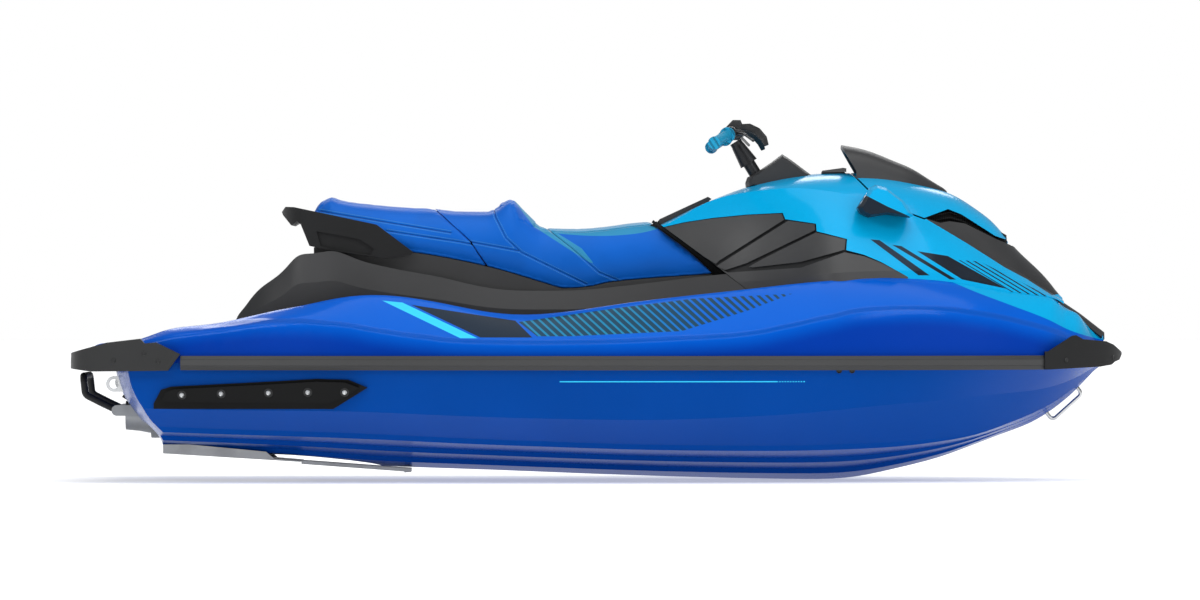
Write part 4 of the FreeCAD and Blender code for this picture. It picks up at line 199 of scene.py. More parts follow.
class Finish:
    """A material made of nodes that read the piece's own coordinates."""

    def __init__(self, name, **constants):
        self.material = bpy.data.materials.new(name)
        self.material.use_nodes = True
        self.tree = self.material.node_tree
        self.tree.nodes.clear()
        output = self.add("ShaderNodeOutputMaterial")
        self.shader = self.add("ShaderNodeBsdfPrincipled", None, constants)
        self.tree.links.new(self.shader.outputs[0], output.inputs[0])
        self.place = self.add("ShaderNodeTexCoord").outputs["Object"]
        split = self.add("ShaderNodeSeparateXYZ", None, [Field(self, self.place)])
        self.x, self.y, self.z = [Field(self, socket) for socket in split.outputs]

    def add(self, kind, settings=None, sockets=()):
        """Add a node: its settings first, then the values or links of its sockets."""
        node = self.tree.nodes.new(kind)
        for name, value in (settings or {}).items():
            if name == "points":
                curve = node.mapping.curves[0]
                curve.points[0].location, curve.points[1].location = value[0], value[-1]
                for place in value[1:-1]:
                    curve.points.new(*place)
                node.mapping.update()
            elif name == "stops":
                ramp = node.color_ramp
                ramp.elements[0].position, ramp.elements[0].color = value[0]
                ramp.elements[1].position, ramp.elements[1].color = value[-1]
                for position, colour in value[1:-1]:
                    ramp.elements.new(position).color = colour
            else:
                setattr(node, name, value)
        pairs = sockets.items() if isinstance(sockets, dict) else enumerate(sockets)
        for key, value in pairs:
            if isinstance(value, Field):
                self.tree.links.new(value.socket, node.inputs[key])
            else:
                node.inputs[key].default_value = value
        return node

    def drive(self, **values):
        """Link values to the shader's sockets, which are named with underscores."""
        for name, value in values.items():
            self.tree.links.new(value.socket, self.shader.inputs[name.replace("_", " ")])
        return self

    def stretched(self, *scale):
        """Give the piece's coordinates multiplied by a scale on each axis."""
        node = self.add("ShaderNodeVectorMath", {"operation": "MULTIPLY"},
                        [Field(self, self.place), scale])
        return Field(self, node.outputs[0])

    def noise(self, scale, detail=2.0, roughness=0.5, stretch=(1, 1, 1)):
        """Give soft noise from 0 to 1 with a number of lumps to the metre."""
        node = self.add("ShaderNodeTexNoise", None, {
            "Vector": self.stretched(*stretch), "Scale": scale, "Detail": detail,
            "Roughness": roughness})
        return Field(self, node.outputs[0])

    def cells(self, scale, stretch=(1, 1, 1), feature="F1"):
        """Give the distance from the middle of each cell of a Voronoi pattern."""
        node = self.add("ShaderNodeTexVoronoi", {"feature": feature},
                        {"Vector": self.stretched(*stretch), "Scale": scale})
        return Field(self, node.outputs[0])

    def flakes(self, scale):
        """Give a random value for each flake of a metallic paint."""
        node = self.add("ShaderNodeTexVoronoi", None,
                        {"Vector": Field(self, self.place), "Scale": scale})
        split = self.add("ShaderNodeSeparateColor", None, [Field(self, node.outputs["Color"])])
        return Field(self, split.outputs[0])

    def mix(self, share, first, second):
        """Mix two colours."""
        node = self.add("ShaderNodeMix", {"data_type": "RGBA"}, {0: share, 6: first, 7: second})
        return Field(self, node.outputs[2])

    def shade(self, colour, amount):
        """Make a colour lighter or darker by an amount round 1."""
        node = self.add("ShaderNodeVectorMath", {"operation": "SCALE"},
                        {0: colour[:3] if isinstance(colour, tuple) else colour, 3: amount})
        return Field(self, node.outputs[0])

    def relief(self, height, depth, strength=1.0):
        """Feed the Normal socket with a height from 0 to 1 that is a depth in metres."""
        node = self.add("ShaderNodeBump", None,
                        {"Strength": strength, "Distance": depth, "Height": height})
        self.drive(Normal=Field(self, node.outputs[0]))
        return self

    def inside(self, outline, blur=0.0008):
        """Give 1 within a convex side outline and 0 outside it."""
        corners = [(x * MM, z * MM) for x, z in outline]
        following = corners[1:] + corners[:1]
        turn = sum(x0 * z1 - x1 * z0 for (x0, z0), (x1, z1) in zip(corners, following))
        depth = None
        for (x0, z0), (x1, z1) in zip(corners, following):
            length = math.copysign(math.hypot(x1 - x0, z1 - z0), turn)
            across, up = (z0 - z1) / length, (x1 - x0) / length
            edge = self.x * across + self.z * up - (x0 * across + z0 * up)
            depth = edge if depth is None else depth.lower(edge)
        return depth.rise(-blur, blur)

    def line_height(self, line):
        """Give the height of a side line at each place along it."""
        start, end = line[0][0], line[-1][0]
        low = min(z for x, z in line)
        tall = max(z for x, z in line) - low
        points = [((x - start) / (end - start), (z - low) / tall) for x, z in line]
        share = (self.x - start * MM) / ((end - start) * MM)
        node = self.add("ShaderNodeFloatCurve", {"points": points}, {"Value": share})
        return Field(self, node.outputs[0]) * (tall * MM) + low * MM

    def bands(self, along, up, pitch, share):
        """Give 1 on slanted bands and 0 between them."""
        place = (self.x * along + self.z * up) / pitch
        phase = abs(place.math("FRACT") - 0.5)
        return phase.rise(share * 0.5 - 0.04, share * 0.5 + 0.04, 1.0, 0.0)


def dress(finish, *names):
    """Give CAD nodes a finish."""
    for name in names:
        mesh = NODES[name].data
        mesh.materials.clear()
        mesh.materials.append(finish.material)


def add_piece(name, mesh, finish, body, smooth=True):
    """Put a mesh into the scene as a piece that moves with a body."""
    mesh.materials.clear()
    mesh.materials.append(finish.material)
    for face in mesh.polygons:
        face.use_smooth = smooth
    item = bpy.data.objects.new(name, mesh)
    bpy.context.scene.collection.objects.link(item)
    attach(item, body)
    return item


def mesh_from(form, name):
    """Turn a bmesh into a mesh with outward faces."""
    bmesh.ops.recalc_face_normals(form, faces=form.faces)
    mesh = bpy.data.meshes.new(name)
    form.to_mesh(mesh)
    form.free()
    return mesh


def settle(item):
    """Turn a piece's modifiers into its mesh."""
    graph = bpy.context.evaluated_depsgraph_get()
    mesh = bpy.data.meshes.new_from_object(item.evaluated_get(graph))
    item.modifiers.clear()
    item.data = mesh


def on_side(node, along, up, side):
    """Find a node's outer surface at a side place in millimetres, and its outward direction."""
    start = Vector((along * MM, side * 0.9, up * MM))
    found, place, normal, _ = NODES[node].ray_cast(start, Vector((0, -side, 0)))
    if not found:
        raise RuntimeError("%s has no surface at %s, %s" % (node, along, up))
    return place, normal


def facing(place, normal):
    """Give the matrix that stands a shape on a place, its top along the normal."""
    return Matrix.Translation(place) @ normal.to_track_quat("Z", "Y").to_matrix().to_4x4()


def add_screw(form, place, normal, radius, height, hollow):
    """Add a round head with a rounded rim and a hollow in its middle."""
    made = bmesh.ops.create_cone(
        form, cap_ends=True, segments=24, radius1=radius, radius2=radius * 0.96,
        depth=height, matrix=facing(place + normal * height * 0.3, normal))
    verts = set(made["verts"])
    faces = [face for face in form.faces if verts.issuperset(face.verts)]
    top = max((face for face in faces if len(face.verts) > 4),
              key=lambda face: face.calc_center_median().dot(normal))
    rim = list(top.edges)
    bmesh.ops.inset_region(form, faces=[top], thickness=radius * (1.0 - hollow))
    bmesh.ops.translate(form, verts=top.verts, vec=normal * -height * 0.55)
    bmesh.ops.bevel(form, geom=rim, offset=height * 0.2, segments=2, profile=0.5,
                    affect="EDGES", material=-1)


def strip(form, rows):
    """Bridge rows of points into a strip of faces."""
    loops = []
    for row in rows:
        verts = [form.verts.new(point) for point in row]
        loops.append([form.edges.new(pair) for pair in zip(verts, verts[1:])])
    for first, second in zip(loops, loops[1:]):
        bmesh.ops.bridge_loops(form, edges=first + second)


def settings():
    """Give the craft's sizes and colours."""
    return bpy.context.scene.watercraft


# Finishes

def paint(name, colour, roughness=0.24, flake=0.10, form=None, gloss=0.30):
    """Make a glossy metallic paint and give its finish and its colour field."""
    finish = Finish(name, **{
        "Roughness": roughness, "Metallic": 0.0, "Specular IOR Level": gloss,
        "Specular Tint": (0.10, 0.45, 1.0, 1.0), "Coat Weight": gloss * 0.5,
        "Coat Roughness": 0.10})
    sparkle = finish.flakes(1400.0)
    cloud = finish.noise(2.2, 3.0)
    amount = sparkle * flake + cloud.rise(0.3, 0.7, 0.96, 1.04) - flake * 0.5
    wave = finish.noise(420.0, 2.0)
    height = wave * 0.00003
    finish.relief(height if form is None else height + form(finish), 1.0)
    return finish, finish.shade(tuple(colour), amount)


def deck_ridge(finish):
    """Give the height of the ridge that runs along the deck's side, in metres."""
    below = finish.line_height(DECK_RIDGE) - finish.z
    side = abs(finish.y).rise(0.10, 0.20)
    ends = finish.x.rise(-1.30, -1.05) * finish.x.rise(1.42, 1.56, 1.0, 0.0)
    return below.rise(-0.003, 0.020) * side * ends * 0.014


def deck_paint():
    """Make the deck's paint with its slash, dark wedge, hatched band and nose band, painted lighter
    above its ridge as a highlight and darker below it as shade.
    """
    sizes = settings()
    finish, colour = paint("deck_gelcoat", sizes.deck_blue, form=deck_ridge, gloss=0.22)
    # Painted light and shade: the deck takes a lighter blue above its ridge and a darker blue below it,
    # standing in for light on its top and shade towards the rail.
    below = (finish.line_height(DECK_RIDGE) - finish.z).rise(0.0, 0.075)
    cloud = finish.noise(2.2, 3.0).rise(0.3, 0.7, 0.96, 1.04)
    painted_lit_upper = finish.shade(tuple(sizes.deck_painted_highlight), cloud)
    colour = finish.mix(below, painted_lit_upper, colour)
    cyan = finish.shade(tuple(sizes.cowl_cyan), 1.0)
    dark = (*sizes.graphic_dark, 1.0)
    hatch = finish.inside(DECK_HATCH)
    fade = finish.x.rise(0.20, 0.60, 0.66, 0.42)
    place = (finish.x * 0.67 + finish.z * 0.74) / 0.0182
    phase = abs(place.math("FRACT") - 0.5)
    band = (fade * 0.5 - phase).rise(-0.03, 0.03)
    teal = (0.012, 0.20, 0.36, 1.0)
    faded = finish.x.rise(0.05, 0.40)
    between = finish.mix(faded, teal, colour)
    colour = finish.mix(hatch, colour, finish.mix(band, between, (0.010, 0.045, 0.075, 1.0)))
    colour = finish.mix(finish.inside(DECK_WEDGE), colour, dark)
    colour = finish.mix(finish.inside(DECK_SLASH), colour, (*sizes.slash_cyan, 1.0))
    above = (finish.z - finish.line_height(NOSE_BAND_FOOT)).rise(-0.001, 0.001)
    nose = above * finish.x.rise(1.050, 1.052)
    colour = finish.mix(nose, colour, cyan)
    return finish.drive(Base_Color=colour)


def hull_paint():
    """Make the hull's paint with its thin line and dashes."""
    sizes = settings()
    finish, colour = paint("hull_gelcoat", sizes.hull_blue, gloss=0.10)
    dash = ((finish.x / 0.0085).math("FRACT")).rise(0.45, 0.50)
    line = finish.inside(HULL_LINE).higher(finish.inside(HULL_DASHES) * dash)
    colour = finish.mix(line, colour, (*sizes.slash_cyan, 1.0))
    return finish.drive(Base_Color=colour)


def cowl_paint():
    """Make the cowl's cyan paint with its dark stripes and thin lines."""
    sizes = settings()
    finish, colour = paint("cowl_gelcoat", sizes.cowl_cyan)
    dark = (*sizes.graphic_dark, 1.0)
    for outline in COWL_STRIPES:
        colour = finish.mix(finish.inside(outline), colour, dark)
    lines = finish.bands(0.511, 0.859, 0.0112, 0.34) * finish.inside(COWL_THIN_LINES)
    colour = finish.mix(lines, colour, dark)
    return finish.drive(Base_Color=colour)


def plastic(name, colour, grain=0.00012, roughness=0.46, shine=0.42):
    """Make a grained moulded plastic with slightly polished high spots."""
    finish = Finish(name, **{"Specular IOR Level": shine, "Coat Weight": 0.0})
    leather = finish.cells(620.0, feature="SMOOTH_F1")
    fine = finish.noise(1500.0, 2.0)
    cloud = finish.noise(5.0, 3.0)
    finish.relief(leather * 0.7 + fine * 0.3, grain)
    tone = cloud.rise(0.3, 0.7, 0.9, 1.1) + fine * 0.12 - 0.06
    rough = cloud.rise(0.3, 0.7, roughness - 0.05, roughness + 0.06)
    return finish.drive(Base_Color=finish.shade(tuple(colour), tone), Roughness=rough)


def rubber(name, colour):
    """Make a matt rubber with dust in its fine grain."""
    finish = Finish(name, **{"Specular IOR Level": 0.30})
    fine = finish.noise(900.0, 3.0, 0.6)
    cloud = finish.noise(9.0, 4.0)
    finish.relief(fine, 0.00010)
    tone = cloud.rise(0.3, 0.7, 0.88, 1.12)
    return finish.drive(Base_Color=finish.shade(tuple(colour), tone),
                        Roughness=cloud.rise(0.3, 0.7, 0.55, 0.68))


def grip_rubber():
    """Make the grips' rubber: rings round the bar."""
    sizes = settings()
    finish = Finish("grip_rubber", **{"Specular IOR Level": 0.30})
    ring = abs((finish.y / 0.0075).math("FRACT") - 0.5).rise(0.10, 0.24)
    fine = finish.noise(900.0, 3.0, 0.6)
    finish.relief(ring * 0.85 + fine * 0.15, 0.0012)
    # Painted shade: the grooves between the rings are painted darker than the ring tops.
    tone = ring.rise(0.0, 1.0, 0.55, 1.05) + fine * 0.1 - 0.05
    return finish.drive(Base_Color=finish.shade(tuple(sizes.grip_cyan), tone),
                        Roughness=fine.rise(0.2, 0.8, 0.52, 0.66))


def screen_weave():
    """Make the intake screens' black plastic with its woven holes, the holes painted near-black as the
    shade behind them.
    """
    finish = Finish("screen_weave", **{"Specular IOR Level": 0.25})
    cross = abs((finish.x / 0.006).math("FRACT") - 0.5)
    rise = abs((finish.z / 0.006).math("FRACT") - 0.5)
    wires = cross.higher(rise).rise(0.34, 0.40)
    finish.relief(wires, 0.0008)
    # Painted shade: the holes between the wires take a near-black colour.
    return finish.drive(Base_Color=finish.mix(wires, (0.001, 0.001, 0.001, 1.0),
                                              (0.016, 0.017, 0.018, 1.0)),
                        Roughness=wires.rise(0.0, 1.0, 0.9, 0.5))


def mirror_glass():
    """Make the mirrors' silvered glass with a faint smear."""
    finish = Finish("mirror_glass", **{"Metallic": 1.0})
    smear = finish.noise(40.0, 3.0)
    return finish.drive(Base_Color=finish.shade((0.80, 0.83, 0.86), smear.rise(0, 1, 0.95, 1.0)),
                        Roughness=smear.rise(0.3, 0.7, 0.02, 0.07))


def rail_rubber():
    """Make the rub rail's rubber: two lips with a lighter band between them, painted as a highlight."""
    sizes = settings()
    finish = Finish("rail_rubber", **{"Specular IOR Level": 0.35})
    cloud = finish.noise(6.0, 3.0, 0.5, (0.3, 1, 1))
    fine = finish.noise(700.0, 2.0)
    middle = abs(finish.z - 0.1105)
    # Painted highlight: the middle band of the rail is painted lighter and made glossier.
    painted_highlight_band = middle.rise(0.0075, 0.0090, 1.0, 0.0)
    groove = abs(middle - 0.0095).rise(0.0, 0.0016)
    finish.relief(groove * 0.8 + fine * 0.05, 0.0012)
    tone = cloud.rise(0.3, 0.7, 0.9, 1.1) + painted_highlight_band * 0.35
    return finish.drive(Base_Color=finish.shade(tuple(sizes.rail_grey), tone),
                        Roughness=painted_highlight_band.rise(0.0, 1.0, 0.50, 0.36))


def foam_mat():
    """Make the deck mats' foam: grooves along the craft with a fine pebbled top."""
    finish = Finish("mat_foam", **{"Specular IOR Level": 0.25})
    ridge = abs((finish.y / 0.011).math("FRACT") - 0.5).rise(0.06, 0.20)
    cross = abs((finish.x / 0.075).math("FRACT") - 0.5).rise(0.03, 0.07)
    pebble = finish.noise(1100.0, 3.0, 0.6)
    height = ridge.lower(cross) * 0.85 + pebble * 0.15
    finish.relief(height, 0.0016)
    # Painted shade: the grooves are painted darker than the ribs between them.
    tone = height.rise(0.0, 1.0, 0.55, 1.05)
    return finish.drive(Base_Color=finish.shade(tuple(settings().mat_grey), tone),
                        Roughness=pebble.rise(0.2, 0.8, 0.75, 0.92))


def metal(name, colour, roughness, stretch=(1, 1, 1), grain=900.0, depth=0.00004):
    """Make a metal with brushed or cast grain."""
    finish = Finish(name, **{"Metallic": 1.0})
    brush = finish.noise(grain, 4.0, 0.6, stretch)
    cloud = finish.noise(14.0, 3.0)
    finish.relief(brush, depth)
    tone = cloud.rise(0.3, 0.7, 0.86, 1.08) + brush * 0.16 - 0.08
    return finish.drive(Base_Color=finish.shade(tuple(colour), tone),
                        Roughness=brush.rise(0.2, 0.8, roughness - 0.07, roughness + 0.09))


def engine_finish():
    """Make the engine block's dark cast finish."""
    finish = Finish("engine_cast", **{"Metallic": 0.6})
    lumps = finish.cells(240.0)
    finish.relief(lumps, 0.0004)
    return finish.drive(Base_Color=finish.shade((0.07, 0.072, 0.076), lumps.rise(0, 1, 0.8, 1.2)),
                        Roughness=lumps.rise(0.0, 1.0, 0.5, 0.7))


def screen_finish():
    """Make the instrument display: a lit dial arc and plain bars behind dark glass."""
    low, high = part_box("display")
    middle = (low + high) * 0.5
    finish = Finish("display_glass", **{
        "Specular IOR Level": 0.5, "Coat Weight": 1.0, "Coat Roughness": 0.03,
        "Emission Strength": 0.6})
    span = high.y - low.y
    across = finish.y / span
    along = (finish.x - middle.x) / (high.x - low.x)
    radius = (across * across + along * along * 0.36).math("SQRT")
    arc = abs(radius - 0.26).rise(0.02, 0.035, 1.0, 0.0) * along.rise(-0.25, -0.2)
    bars = (across * 14.0).math("FRACT").rise(0.45, 0.5)
    row = abs(along + 0.34).rise(0.05, 0.06, 1.0, 0.0) * abs(across).rise(0.30, 0.31, 1.0, 0.0)
    light = arc.higher(bars * row)
    edge = abs(across).higher(abs(along)).rise(0.44, 0.46, 1.0, 0.0)
    colour = finish.mix(light * edge, (0.006, 0.007, 0.009, 1.0), (0.25, 0.55, 0.70, 1.0))
    smear = finish.noise(60.0, 2.0)
    return finish.drive(Base_Color=colour, Roughness=smear.rise(0.3, 0.7, 0.08, 0.16),
                        Emission_Color=finish.mix(light * edge, (0, 0, 0, 1.0),
                                                  (0.10, 0.40, 0.60, 1.0)))


def mirror_finish():
    """Make the mirror housings: cyan cap above, grained plastic below."""
    sizes = settings()
    finish, colour = paint("mirror_paint", sizes.cowl_cyan)
    cap = finish.inside(MIRROR_CAP)
    fine = finish.noise(1500.0, 2.0)
    tone = finish.shade(tuple(sizes.trim_grey), fine * 0.1 + 0.35)
    return finish.drive(Base_Color=finish.mix(cap, tone, colour),
                        Roughness=cap.rise(0.0, 1.0, 0.46, 0.24))


def seat_vinyl(name):
    """Make the seats' vinyl: fine leather grain, light band, stitches beside the seams and painted
    shade along the seams.
    """
    sizes = settings()
    finish = Finish(name, **{"Specular IOR Level": 0.20, "Sheen Weight": 0.04,
                             "Sheen Roughness": 0.5, "Specular Tint": (0.5, 0.8, 1.0, 1.0)})
    grain = finish.cells(900.0, feature="SMOOTH_F1")
    cloud = finish.noise(7.0, 3.0)
    seam = Field(finish, finish.add("ShaderNodeAttribute",
                                    {"attribute_name": "seam_distance"}).outputs["Fac"])
    run = Field(finish, finish.add("ShaderNodeAttribute",
                                   {"attribute_name": "seam_run"}).outputs["Fac"])
    band = None
    for outline in SEAT_BAND:
        part = finish.inside(outline)
        band = part if band is None else band.higher(part)
    rim = (finish.z - finish.line_height(SEAT_RIM_FOOT)).rise(-0.001, 0.001)
    rim = rim * finish.x.rise(-0.160, -0.158)
    light = band.higher(rim)
    stitch = (run / 0.006).math("FRACT").rise(0.30, 0.36) \
        * abs(seam - 0.0055).rise(0.0006, 0.0011, 1.0, 0.0)
    # Painted shade: the vinyl darkens to a third of its colour within a few millimetres of each seam;
    # the same mask also sinks the seam as a bump.
    crease_and_shade = seam.rise(0.0004, 0.0022)
    tone = cloud.rise(0.3, 0.7, 0.94, 1.06) * crease_and_shade.rise(0.0, 1.0, 0.35, 1.0)
    colour = finish.mix(light, (*sizes.seat_blue, 1.0), (*sizes.seat_light, 1.0))
    colour = finish.shade(colour, tone)
    colour = finish.mix(stitch * 0.6, colour, (0.10, 0.36, 0.62, 1.0))
    finish.relief(grain * 0.12 + stitch * 0.5 + crease_and_shade * 0.5, 0.0007)
    return finish.drive(Base_Color=colour, Roughness=cloud.rise(0.3, 0.7, 0.42, 0.50))


# Seats

def seam_fields(mesh, seams, top_seam):
    """Store each vertex's distance from its nearest seam, and its place along that seam."""
    distance = mesh.attributes.new("seam_distance", "FLOAT", "POINT")
    run = mesh.attributes.new("seam_run", "FLOAT", "POINT")
    pieces = []
    for line in seams:
        start = 0.0
        points = [Vector((x * MM, z * MM)) for x, z in line]
        for first, second in zip(points, points[1:]):
            pieces.append((first, second, start))
            start += (second - first).length
    depths = []
    normals = [vertex.normal.copy() for vertex in mesh.vertices]
    for index, vertex in enumerate(mesh.vertices):
        spot = Vector((vertex.co.x, vertex.co.z))
        nearest, place = 1.0, 0.0
        for first, second, start in pieces:
            share = geometry.intersect_point_line(spot, first, second)[1]
            share = min(max(share, 0.0), 1.0)
            gap = (first.lerp(second, share) - spot).length
            if gap < nearest:
                nearest, place = gap, start + (second - first).length * share
        if normals[index].z > 0.75:
            gap = abs(abs(vertex.co.y) - top_seam)
            if gap < nearest:
                nearest, place = gap, vertex.co.x
        distance.data[index].value = nearest
        run.data[index].value = place
        depths.append(nearest)
    return depths


def inflate(item, shrink, seams, top_seam, pressure, reach):
    """Pull a cover in and let pressure fill it again between its seams and its underside."""
    mesh = item.data
    low = min(vertex.co.z for vertex in mesh.vertices)
    start = [vertex.co.copy() for vertex in mesh.vertices]
    normals = [vertex.normal.copy() for vertex in mesh.vertices]
    depths = seam_fields(mesh, seams, top_seam)
    pins = item.vertex_groups.new(name="sewn")
    for index, (depth, normal) in enumerate(zip(depths, normals)):
        under = 1.0 if normal.z < -0.6 or start[index].z < low + 0.006 else 0.0
        weight = max(under, 1.0 if depth < 0.004 else 0.0)
        pins.add([index], weight, "REPLACE")
        if normal.z > -0.6 and abs(normal.x) < 0.6:
            mesh.vertices[index].co = start[index] - normal * shrink
    cloth = item.modifiers.new("cover", "CLOTH")
    cloth.settings.use_pressure = True
    cloth.settings.uniform_pressure_force = pressure
    cloth.settings.effector_weights.gravity = 0.0
    cloth.settings.vertex_group_mass = "sewn"
    cloth.settings.quality = 4
    cloth.settings.tension_stiffness = 12.0
    cloth.settings.compression_stiffness = 12.0
    cloth.settings.bending_stiffness = 2.0
    for number in range(1, 15):
        bpy.context.scene.frame_set(number)
    graph = bpy.context.evaluated_depsgraph_get()
    swollen = [vertex.co.copy() for vertex in item.evaluated_get(graph).data.vertices]
    item.modifiers.clear()
    bpy.context.scene.frame_set(1)
    for vertex, place, moved in zip(mesh.vertices, start, swollen):
        step = moved - vertex.co
        if step.length > reach:
            step = step.normalized() * reach
        vertex.co = vertex.co + step


def seat_cover(name, node, seams, finish):
    """Model a sewn seat cover over the seat's foam."""
    sizes = settings()
    form = bmesh.new()
    form.from_mesh(NODES[node].data)
    bmesh.ops.remove_doubles(form, verts=form.verts, dist=0.0001)
    mesh = mesh_from(form, name)
    item = add_piece(name, mesh, finish, "craft")
    remesh = item.modifiers.new("cover", "REMESH")
    remesh.mode = "VOXEL"
    remesh.voxel_size = sizes.cover_grid
    smooth = item.modifiers.new("soften", "SMOOTH")
    smooth.factor = 0.5
    smooth.iterations = 3
    settle(item)
    inflate(item, sizes.cover_shrink, seams, SEAT_TOP_SEAM, 4.0, sizes.cover_reach)
    item.data.attributes.remove(item.data.attributes["seam_distance"])
    item.data.attributes.remove(item.data.attributes["seam_run"])
    item.vertex_groups.clear()
    finer = item.modifiers.new("finer", "SUBSURF")
    finer.levels = finer.render_levels = 1
    settle(item)
    mesh = item.data
    depths = seam_fields(mesh, seams, SEAT_TOP_SEAM)
    groove = sizes.seam_depth
    normals = [vertex.normal.copy() for vertex in mesh.vertices]
    for vertex, normal, depth in zip(mesh.vertices, normals, depths):
        if depth < 0.006 and normal.z > -0.6:
            share = 1.0 - depth / 0.006
            vertex.co = vertex.co - normal * groove * share * share
    mesh.materials.clear()
    mesh.materials.append(finish.material)
    for face in mesh.polygons:
        face.use_smooth = True
    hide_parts(node)
    return item


# Sizes and colours

def colour_property(name, description, default):
    """Give a colour property with its picker."""
    return bpy.props.FloatVectorProperty(
        name=name, description=description, default=default, subtype="COLOR", size=3,
        min=0.0, max=1.0)


def length_property(name, description, default):
    """Give a length property in metres."""
    return bpy.props.FloatProperty(
        name=name, description=description, default=default, unit="LENGTH", min=0.0)


class WatercraftSettings(bpy.types.PropertyGroup):
    """Sizes and colours of the craft's finish."""

    hull_blue: colour_property("Hull", "Paint of the hull", (0.0002, 0.052, 0.30))
    # Deck top and Deck are lit and shaded copies of one blue: a painted highlight above the deck's
    # ridge and painted shade below it.
    deck_painted_highlight: colour_property("Deck top", "Deck above its ridge", (0.0003, 0.098, 0.56))
    deck_blue: colour_property("Deck", "Paint of the deck", (0.0002, 0.034, 0.33))
    cowl_cyan: colour_property("Cowl", "Paint of the cowl", (0.0012, 0.38, 0.72))
    slash_cyan: colour_property("Slash", "Light stripes on hull and deck", (0.04, 0.60, 0.92))
    graphic_dark: colour_property("Dark bands", "Dark painted bands", (0.012, 0.0125, 0.014))
    trim_grey: colour_property("Trim", "Grained plastic trim", (0.028, 0.028, 0.029))
    rail_grey: colour_property("Rail", "Rubber of the rub rail", (0.034, 0.0345, 0.035))
    mat_grey: colour_property("Mats", "Foam mats of the footwells", (0.06, 0.063, 0.068))
    seat_blue: colour_property("Seat", "Main colour of the seats", (0.002, 0.115, 0.55))
    seat_light: colour_property("Seat band", "Light band of the seat", (0.03, 0.26, 0.47))
    grip_cyan: colour_property("Grips", "Colour of the grips", (0.004, 0.30, 0.52))
    cover_grid: length_property("Cover grid", "Mesh size of the seat covers", 0.005)
    cover_shrink: length_property("Cover slack", "How far a cover starts inside its foam", 0.003)
    cover_reach: length_property("Cover swell", "How far a cover may swell", 0.008)
    seam_depth: length_property("Seam depth", "How deep the sewn seams lie", 0.003)
    camera_distance: length_property("Camera", "Distance of the camera", 26.46)
    floor_radius: length_property("Floor", "Radius of the studio floor", 90.0)
    floor_gap: length_property("Floor gap", "How far the floor lies below the keel", 0.004)


class WATERCRAFT_OT_finish_hull(bpy.types.Operator):
    """Finish the hull, the rail, the bumpers and what is fixed to them"""

    bl_idname = "watercraft.finish_hull"
    bl_label = "Finish Hull"

    def execute(self, context):
        dress(hull_paint(), "hull")
        dress(rail_rubber(), "rub_rail")
        dress(plastic("bumper_plastic", (0.014, 0.0145, 0.015), 0.0002, 0.5), "stern_bumper")
        dress(plastic("bow_plastic", (0.009, 0.0092, 0.0096), 0.0002, 0.5, 0.25), "bow_bumper")
        dress(plastic("sponson_plastic", (0.0035, 0.0036, 0.0038), 0.0001, 0.45, 0.14),
              "sponson_left", "sponson_right")
        dress(metal("bright_steel", (0.62, 0.63, 0.64), 0.22, (1, 6, 6)), "bow_eye", "stern_eyes")
        return {"FINISHED"}


class WATERCRAFT_OT_finish_deck(bpy.types.Operator):
    """Finish the deck, the seat base and the deck's fittings"""

    bl_idname = "watercraft.finish_deck"
    bl_label = "Finish Deck"

    def execute(self, context):
        sizes = settings()
        self.shape_deck(deck_paint())
        self.add_nose_trim(plastic("nose_plastic", sizes.trim_grey))
        dress(plastic("base_plastic", sizes.trim_grey), "seat_base")
        dress(plastic("handle_plastic", (0.010, 0.0102, 0.0106), 0.00018, 0.5, 0.22),
              "grab_handle")
        dress(foam_mat(), "deck_mats")
        return {"FINISHED"}

    def nose_height(self, along):
        """Give the height of the nose's top line at a place along it."""
        for (x0, z0), (x1, z1) in zip(NOSE_LINE, NOSE_LINE[1:]):
            if along <= x1 * MM:
                return (z0 + (z1 - z0) * (along - x0 * MM) / ((x1 - x0) * MM)) * MM
        return NOSE_LINE[-1][1] * MM

    def shape_deck(self, finish):
        """Copy the deck's shell and bring its nose down to its straight top line."""
        form = bmesh.new()
        form.from_mesh(NODES["deck"].data)
        bmesh.ops.remove_doubles(form, verts=form.verts, dist=0.00005)
        crest = {}
        for vert in form.verts:
            if vert.co.x > NOSE_START:
                step = round(vert.co.x, 3)
                if step not in crest:
                    found, place, _, _ = NODES["deck"].ray_cast(
                        Vector((step, 0.0, 0.9)), Vector((0, 0, -1)))
                    crest[step] = place.z if found else NOSE_FOOT
                top = max(crest[step], NOSE_FOOT + 0.02)
                share = (self.nose_height(vert.co.x) - NOSE_FOOT) / (top - NOSE_FOOT)
                fade = min(1.0, (vert.co.x - NOSE_START) / NOSE_FADE)
                if vert.co.z > NOSE_FOOT:
                    most = NOSE_STRETCH if vert.co.x < NOSE_TIP else 1.0
                    share = 1.0 + (min(share, most) - 1.0) * fade
                    vert.co.z = NOSE_FOOT + (vert.co.z - NOSE_FOOT) * share
        mesh = mesh_from(form, "deck_shell")
        item = add_piece("deck_shell", mesh, finish, "craft")
        item.data.set_sharp_from_angle(angle=math.radians(30.0))
        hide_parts("deck")

    def add_nose_trim(self, finish):
        """Lay the dark strip that follows the nose's top line down to the bumper."""
        form = bmesh.new()
        rows = []
        for along in range(1449, 1618, 7):
            half = 36.0 - (along - 1449) * 0.06
            place = Vector((along * MM, 0.0, self.nose_height(along * MM) + 0.0045))
            sides = [place + Vector((0, share * half * MM, -0.020 * share * share))
                     for share in (-1.0, -0.55, 0.0, 0.55, 1.0)]
            rows.append(sides)
        strip(form, rows)
        bmesh.ops.solidify(form, geom=form.faces[:], thickness=0.006)
        item = add_piece("nose_trim", mesh_from(form, "nose_trim"), finish, "craft")
        item.data.set_sharp_from_angle(angle=math.radians(40.0))
        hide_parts("nose_strip")


